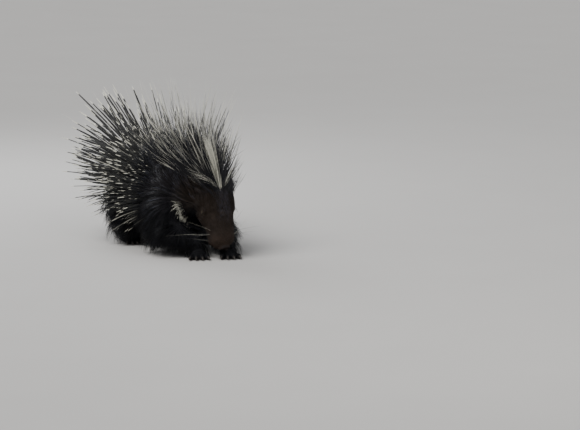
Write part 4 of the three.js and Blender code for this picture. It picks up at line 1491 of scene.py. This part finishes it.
class AddBristles(bpy.types.Operator):
    """The shaggy black coat of flat bristles on neck, trunk, legs and tail"""

    bl_idname = "porcupine.bristles"
    bl_label = "Bristles"

    def execute(self, context):
        sizes, colours = sized(context)
        material = bristle_material(colours, "porcupine_bristle", 0.75)
        random = np.random.default_rng(21)
        roots = scatter(3.3, 3)
        roots = roots.where((roots.share("head", soft=7) < 0.5) & (roots.share("foot") < 0.5))
        roots = roots.where(markings(roots)["bare"] < 0.3)
        quilled = (roots.point[:, 0] < -40) & (np.abs(trunk_place(roots.point)) < QUILL_REACH - 12)
        roots = roots.where(~quilled | (random.random(len(roots)) < 0.45))
        for side, mine in of_sides(roots):
            low, front = mine.point[:, 2] < 84, mine.point[:, 0] > 20
            for place, here in (("fore", ~low & front), ("hind", ~low & ~front), ("low", low)):
                self.coat(mine.where(here), f"bristles_{place}_{side}", sizes, material, random)
        return {"FINISHED"}

    def coat(self, roots, name, sizes, material, random):
        """Bristles in clumps that lie with the coat: shorter low down, on the limbs, towards the head, on the
        tail and in the throat band, and longer and steeper on the nape and withers."""
        count, steps = len(roots), 5
        height = roots.point[:, 2]
        marks, way = markings(roots), lie_of(roots)
        band = marks["pale"]
        limb_share = ramp(roots.share("limb"), 0.45, 0.9)
        nape = roots.share("neck", "head") * ramp(height, 150, 240)
        top = np.maximum(nape, ramp(height, 180, 240) * ramp(roots.point[:, 0], -90, 10))
        group = clumps(roots, 14, random)
        long = sizes["bristle_long"] * lerp(0.62, 1.1, random.random(count))
        long *= of_clumps(group, 0.85, 1.15, random)
        long *= 1 - 0.28 * (1 - ramp(height, 40, 90))
        long *= lerp(1, lerp(0.28, 1, ramp(height, 30, 85)), limb_share)
        long *= 1 + 0.4 * top
        long *= 1 - 0.55 * ramp(roots.share("tail"), 0.5, 0.9)
        long *= 1 - 0.45 * ramp(roots.share("head", soft=7), 0.1, 0.5)
        covered = np.max([band_at(roots.point + reach * way) for reach in (14, 26, 38, 50)], 0)
        long *= (1 - 0.72 * band) * (1 - 0.5 * np.clip(covered - band, 0, 1))
        lift = lerp(0.32, 0.6, random.random(count)) * of_clumps(group, 0.6, 1.4, random) + 0.9 * top
        lift = lerp(lift, 0.55, band)
        turn = of_clumps(group, -0.2, 0.2, random) * (1 - band)
        way = unit(way + np.cross(roots.normal, way) * turn[:, None])
        sag = 0.10 + 0.32 * (1 - ramp(height, 50, 120))
        line = lying(roots, way, long, lift, steps, random, ruffle=0.09, hug=220, bend=0.42, sag=sag)
        line = drawn_together(line, group, 0.45)
        radius = sizes["bristle_radius"] * lerp(0.7, 1.15, random.random(count)) * lerp(1, 0.75, limb_share)
        tone = np.clip(0.8 * random.random(count) ** 1.7 + of_clumps(group, 0, 0.2, random), 0, 1)
        # Painted shade low on the body: the tone drops towards the floor, so low bristles are darker and carry
        # fewer grey tips, as if lit from above.
        tone = np.maximum(tone * lerp(0.4, 1, ramp(height, 50, 165)), band * random.random(count))
        look = marked_look(marks, roots.normal, tone)
        look["pale"] = (band > 0.3) * 1.0
        radius = tapered(count, steps, radius, 0.35, 0.6)
        strand_pieces(name, line, radius, 0.5, look, material, body_map(roots.point))


class AddFur(bpy.types.Operator):
    """Short hair on the head, the ears' rims and the tops of the feet"""

    bl_idname = "porcupine.fur"
    bl_label = "Short fur"

    def execute(self, context):
        sizes, colours = sized(context)
        material = bristle_material(colours, "porcupine_short_fur", 0.3)
        random = np.random.default_rng(33)
        roots = scatter(1.75, 4, (130, -75, 5), (300, 100, 240))
        roots = roots.where((roots.share("head", soft=7) > 0.4) & (markings(roots)["bare"] < 0.35))
        back = roots.head[:, 0]
        long = sizes["fur_long"] * lerp(0.4, 2.3, ramp(back, 10, 165))
        long *= lerp(0.7, 1.25, random.random(len(roots)))
        self.coat("head_fur", roots, long, 0.28 + 0.12 * ramp(back, 90, 160), material, random, 0.36, 6)

        roots = scatter(1.25, 14, (190, -60, 5), (300, 90, 110))
        keep = (roots.share("head", soft=7) > 0.5) & (markings(roots)["bare"] < 0.3)
        roots = roots.where(keep & (roots.head[:, 0] < MUZZLE_LENGTH))
        long = lerp(2.6, 6.5, ramp(roots.head[:, 0], 5, MUZZLE_LENGTH))
        long *= lerp(0.7, 1.2, random.random(len(roots)))
        self.coat("muzzle_fur", roots, long, 0.22, material, random, 0.26, 4)

        roots = scatter(2.3, 6, (-200, -160, 6), (300, 160, 42))
        keep = (roots.share("foot") > 0.45) & (roots.normal[:, 2] > -0.3) & (markings(roots)["bare"] < 0.3)
        roots = roots.where(keep)
        self.coat("foot_fur", roots, lerp(5, 11, random.random(len(roots))), 0.25, material, random, 0.4, 5)
        return {"FINISHED"}

    def coat(self, name, roots, long, lift, material, random, radius, tuft):
        """Hairs of a half width that lie with the coat in tufts of about that many millimetres."""
        count, steps = len(roots), 4
        group = clumps(roots, tuft, random)
        lift = lift * lerp(0.6, 1.3, random.random(count)) * of_clumps(group, 0.6, 1.4, random)
        way = lie_of(roots)
        way = unit(way + np.cross(roots.normal, way) * of_clumps(group, -0.25, 0.25, random)[:, None])
        line = lying(roots, way, long, lift, steps, random, ruffle=0.14, hug=60, bend=0.55)
        line = drawn_together(line + 1.6 * roots.normal[:, None], group, 0.4)
        tone = np.clip(0.6 * random.random(count) + of_clumps(group, 0, 0.4, random), 0, 1)
        # Painted shade where the head gives way to the neck, in the crease under the cheek: the tone drops
        # there. The same factor darkens the foot fur, far from the head.
        tone *= lerp(0.45, 1, ramp(roots.share("head"), 0.3, 0.6))
        look = marked_look(markings(roots), roots.normal, tone)
        radius = tapered(count, steps, radius * lerp(0.75, 1.25, random.random(count)), 0.3, 0.7)
        strand_pieces(name, line, radius, 0.5, look, material, body_map(roots.point))


class AddWhiskers(bpy.types.Operator):
    """Stiff whiskers that spread from the sides of the muzzle"""

    bl_idname = "porcupine.whiskers"
    bl_label = "Whiskers"

    def execute(self, context):
        sizes, colours = sized(context)
        material = whisker_material(colours)
        count, steps = 22, 12
        t = np.linspace(0, 1, steps)[:, None]
        sag = np.array([-0.14, 0, -0.12]) * t * t
        for side, sign in SIDES.items():
            random = np.random.default_rng(50 + sign)
            back, rise = random.uniform(-14, 16, count), random.uniform(-11, 11, count)
            root = (WHISKER_PAD + np.column_stack([back, np.full(count, -5), rise])) * (1, sign, 1)
            share = random.random(count)
            way = [lerp(-0.1, 0.75, share), np.full(count, sign), random.uniform(-0.7, 0.1, count)]
            way = unit(np.column_stack(way)) @ HEAD_AXES
            long = sizes["whisker_long"] * lerp(0.25, 1, random.random(count) ** 2.0)
            spine = (NOSE + root @ HEAD_AXES)[:, None] + long[:, None, None] * (way[:, None] * t + sag)
            pale = random.random(count) < 0.17
            look = {"normal": FORWARD, "light": pale * lerp(0.45, 0.85, random.random(count))}
            strand_pieces(
                "whisker_hairs_" + side, spine, tapered(count, steps, 0.3, 0.1, 0.9), 1.0, look, material,
                np.column_stack([share, random.random(count)]), ("whiskers_" + side,),
            )
        return {"FINISHED"}


class AddRattle(bpy.types.Operator):
    """Short hollow-looking white quills on thin stalks at the tail's end"""

    bl_idname = "porcupine.rattle"
    bl_label = "Tail rattle"

    def execute(self, context):
        material = quill_material(context.scene.porcupine_colours)
        random = np.random.default_rng(8)
        roots = scatter(7.5, 8, (-345, -40, 50), (-285, 40, 130))
        roots = roots.where(roots.share("tail") > 0.5)
        count = len(roots)
        way = unit(roots.normal * 0.35 + (-1, 0, -0.45) + random.normal(0, 0.1, (count, 3)))
        long = lerp(26, 42, random.random(count)) * ramp(-roots.point[:, 0], 270, 330)
        keep = long > 13
        roots, way, long = roots.where(keep), way[keep], long[keep]
        spine = roots.point[:, None] + long[:, None, None] * way[:, None] * RATTLE_SHARES[:, None]
        radius = np.broadcast_to(RATTLE_WIDTHS, spine.shape[:2])
        look = {"normal": UPWARD, "tone": random.random(len(roots)), "light": 1.0, "white_tip": 0.02}
        strand_pieces(
            "tail_rattle", spine, radius, 1.0, look, material, body_map(roots.point), sides=7
        )
        return {"FINISHED"}


class AddStage(bpy.types.Operator):
    """Camera, plain pale floor and soft studio lights"""

    bl_idname = "porcupine.stage"
    bl_label = "Stage"

    def execute(self, context):
        scene = context.scene
        azimuth, elevation = math.radians(VIEW_AZIMUTH), math.radians(VIEW_ELEVATION)
        right = Vector((math.cos(azimuth), math.sin(azimuth), 0))
        level = Vector((math.sin(azimuth), -math.cos(azimuth), 0))
        back = level * math.cos(elevation) + Vector((0, 0, math.sin(elevation)))
        self.camera(scene, back, right)
        self.floor(scene)
        self.lights(scene, back, right)
        return {"FINISHED"}

    def camera(self, scene, back, right):
        """Looks along the photo's line, with the nose where the photo has it."""
        low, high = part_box("nose")
        across = (NOSE_PIXEL[0] - PHOTO_WIDTH / 2) / FOCAL_PIXELS * VIEW_DISTANCE
        above = (PHOTO_HEIGHT / 2 - NOSE_PIXEL[1]) / FOCAL_PIXELS * VIEW_DISTANCE
        camera = bpy.data.objects.new("camera", bpy.data.cameras.new("camera"))
        camera.data.sensor_width = SENSOR
        camera.data.lens = FOCAL_PIXELS / PHOTO_WIDTH * SENSOR
        camera.location = (low + high) / 2 + back * VIEW_DISTANCE - right * across - back.cross(right) * above
        camera.rotation_mode = "QUATERNION"
        camera.rotation_quaternion = (-back).to_track_quat("-Z", "Y")
        scene.collection.objects.link(camera)
        scene.camera = camera

    def floor(self, scene):
        """One level square of plain pale ground at height 0."""
        mesh = bpy.data.meshes.new("floor")
        corners = [(x * FLOOR_REACH, y * FLOOR_REACH, 0) for x, y in ((-1, -1), (1, -1), (1, 1), (-1, 1))]
        mesh.from_pydata(corners, [], [(0, 1, 2, 3)])
        floor = bpy.data.objects.new("floor", mesh)
        shade = Shade("studio_floor", Roughness=0.85)
        pale = shade.scaled((0.57, 0.558, 0.54), shade.noise(3, 2) * 0.06 + 0.97)
        mesh.materials.append(shade.finish(pale))
        scene.collection.objects.link(floor)
        floor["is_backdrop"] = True

    def lights(self, scene, back, right):
        """A soft sky, a wide sun, a lamp in front and one behind, all aimed at the animal."""
        world = bpy.data.worlds.new("studio")
        world.use_nodes = True
        sky = world.node_tree.nodes["Background"].inputs
        sky["Color"].default_value = (0.80, 0.82, 0.86, 1)
        sky["Strength"].default_value = 0.42
        scene.world = world
        lamps = (  # name, kind, place, angle or width, power and colour
            ("key", "SUN", Vector((0.1, -0.3, 2.6)) - right * 1.1 + back * 0.6, 0.7, 2.35, (1.0, 0.99, 0.97)),
            ("front", "AREA", Vector((0, 0, 1.3)) + right * 1.0 + back * 1.8, 1.6, 10, (1.0, 0.98, 0.95)),
            ("rim", "AREA", Vector((0, 0, 1.9)) - right * 0.9 - back * 1.5, 1.2, 24, (0.95, 0.97, 1.0)),
        )
        for name, kind, place, size, power, colour in lamps:
            light = bpy.data.lights.new(name, kind)
            light.energy, light.color = power, colour
            if kind == "SUN":
                light.angle = size
            else:
                light.shape, light.size = "DISK", size
            lamp = bpy.data.objects.new(name, light)
            lamp.location = place
            lamp.rotation_mode = "QUATERNION"
            lamp.rotation_quaternion = (Vector((0, 0, 0.2)) - place).to_track_quat("-Z", "Y")
            scene.collection.objects.link(lamp)


STEPS = (
    AddStage, AddSkin, AddEyes, AddClaws, AddQuills, AddCrest, AddBristles, AddFur, AddWhiskers, AddRattle
)


class PorcupinePanel(bpy.types.Panel):
    """Lists the porcupine's steps and its sizes and colours"""

    bl_idname = "VIEW3D_PT_porcupine"
    bl_label = "Crested Porcupine"
    bl_space_type = "VIEW_3D"
    bl_region_type = "UI"
    bl_category = "Porcupine"

    def draw(self, context):
        for step in STEPS:
            self.layout.operator(step.bl_idname)
        for group in (context.scene.porcupine_sizes, context.scene.porcupine_colours):
            box = self.layout.box()
            for key in type(group).__annotations__:
                box.prop(group, key)


CLASSES = (PorcupineSizes, PorcupineColours, *STEPS, PorcupinePanel)


def register():
    for each in CLASSES:
        bpy.utils.register_class(each)
    bpy.types.Scene.porcupine_sizes = PointerProperty(type=PorcupineSizes)
    bpy.types.Scene.porcupine_colours = PointerProperty(type=PorcupineColours)


def unregister():
    del bpy.types.Scene.porcupine_colours
    del bpy.types.Scene.porcupine_sizes
    for each in reversed(CLASSES):
        bpy.utils.unregister_class(each)


def main():
    """Makes the stage and every piece in order, and works out how large the solids and the visible model are.
    """
    register()
    for step in STEPS:
        group, name = step.bl_idname.split(".")
        getattr(getattr(bpy.ops, group), name)()
    boxes = {"cad": CAD_BOX, "visual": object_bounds()}
    {name: [list(corner) for corner in box] for name, box in boxes.items()}


if __name__ == "__main__":
    main()
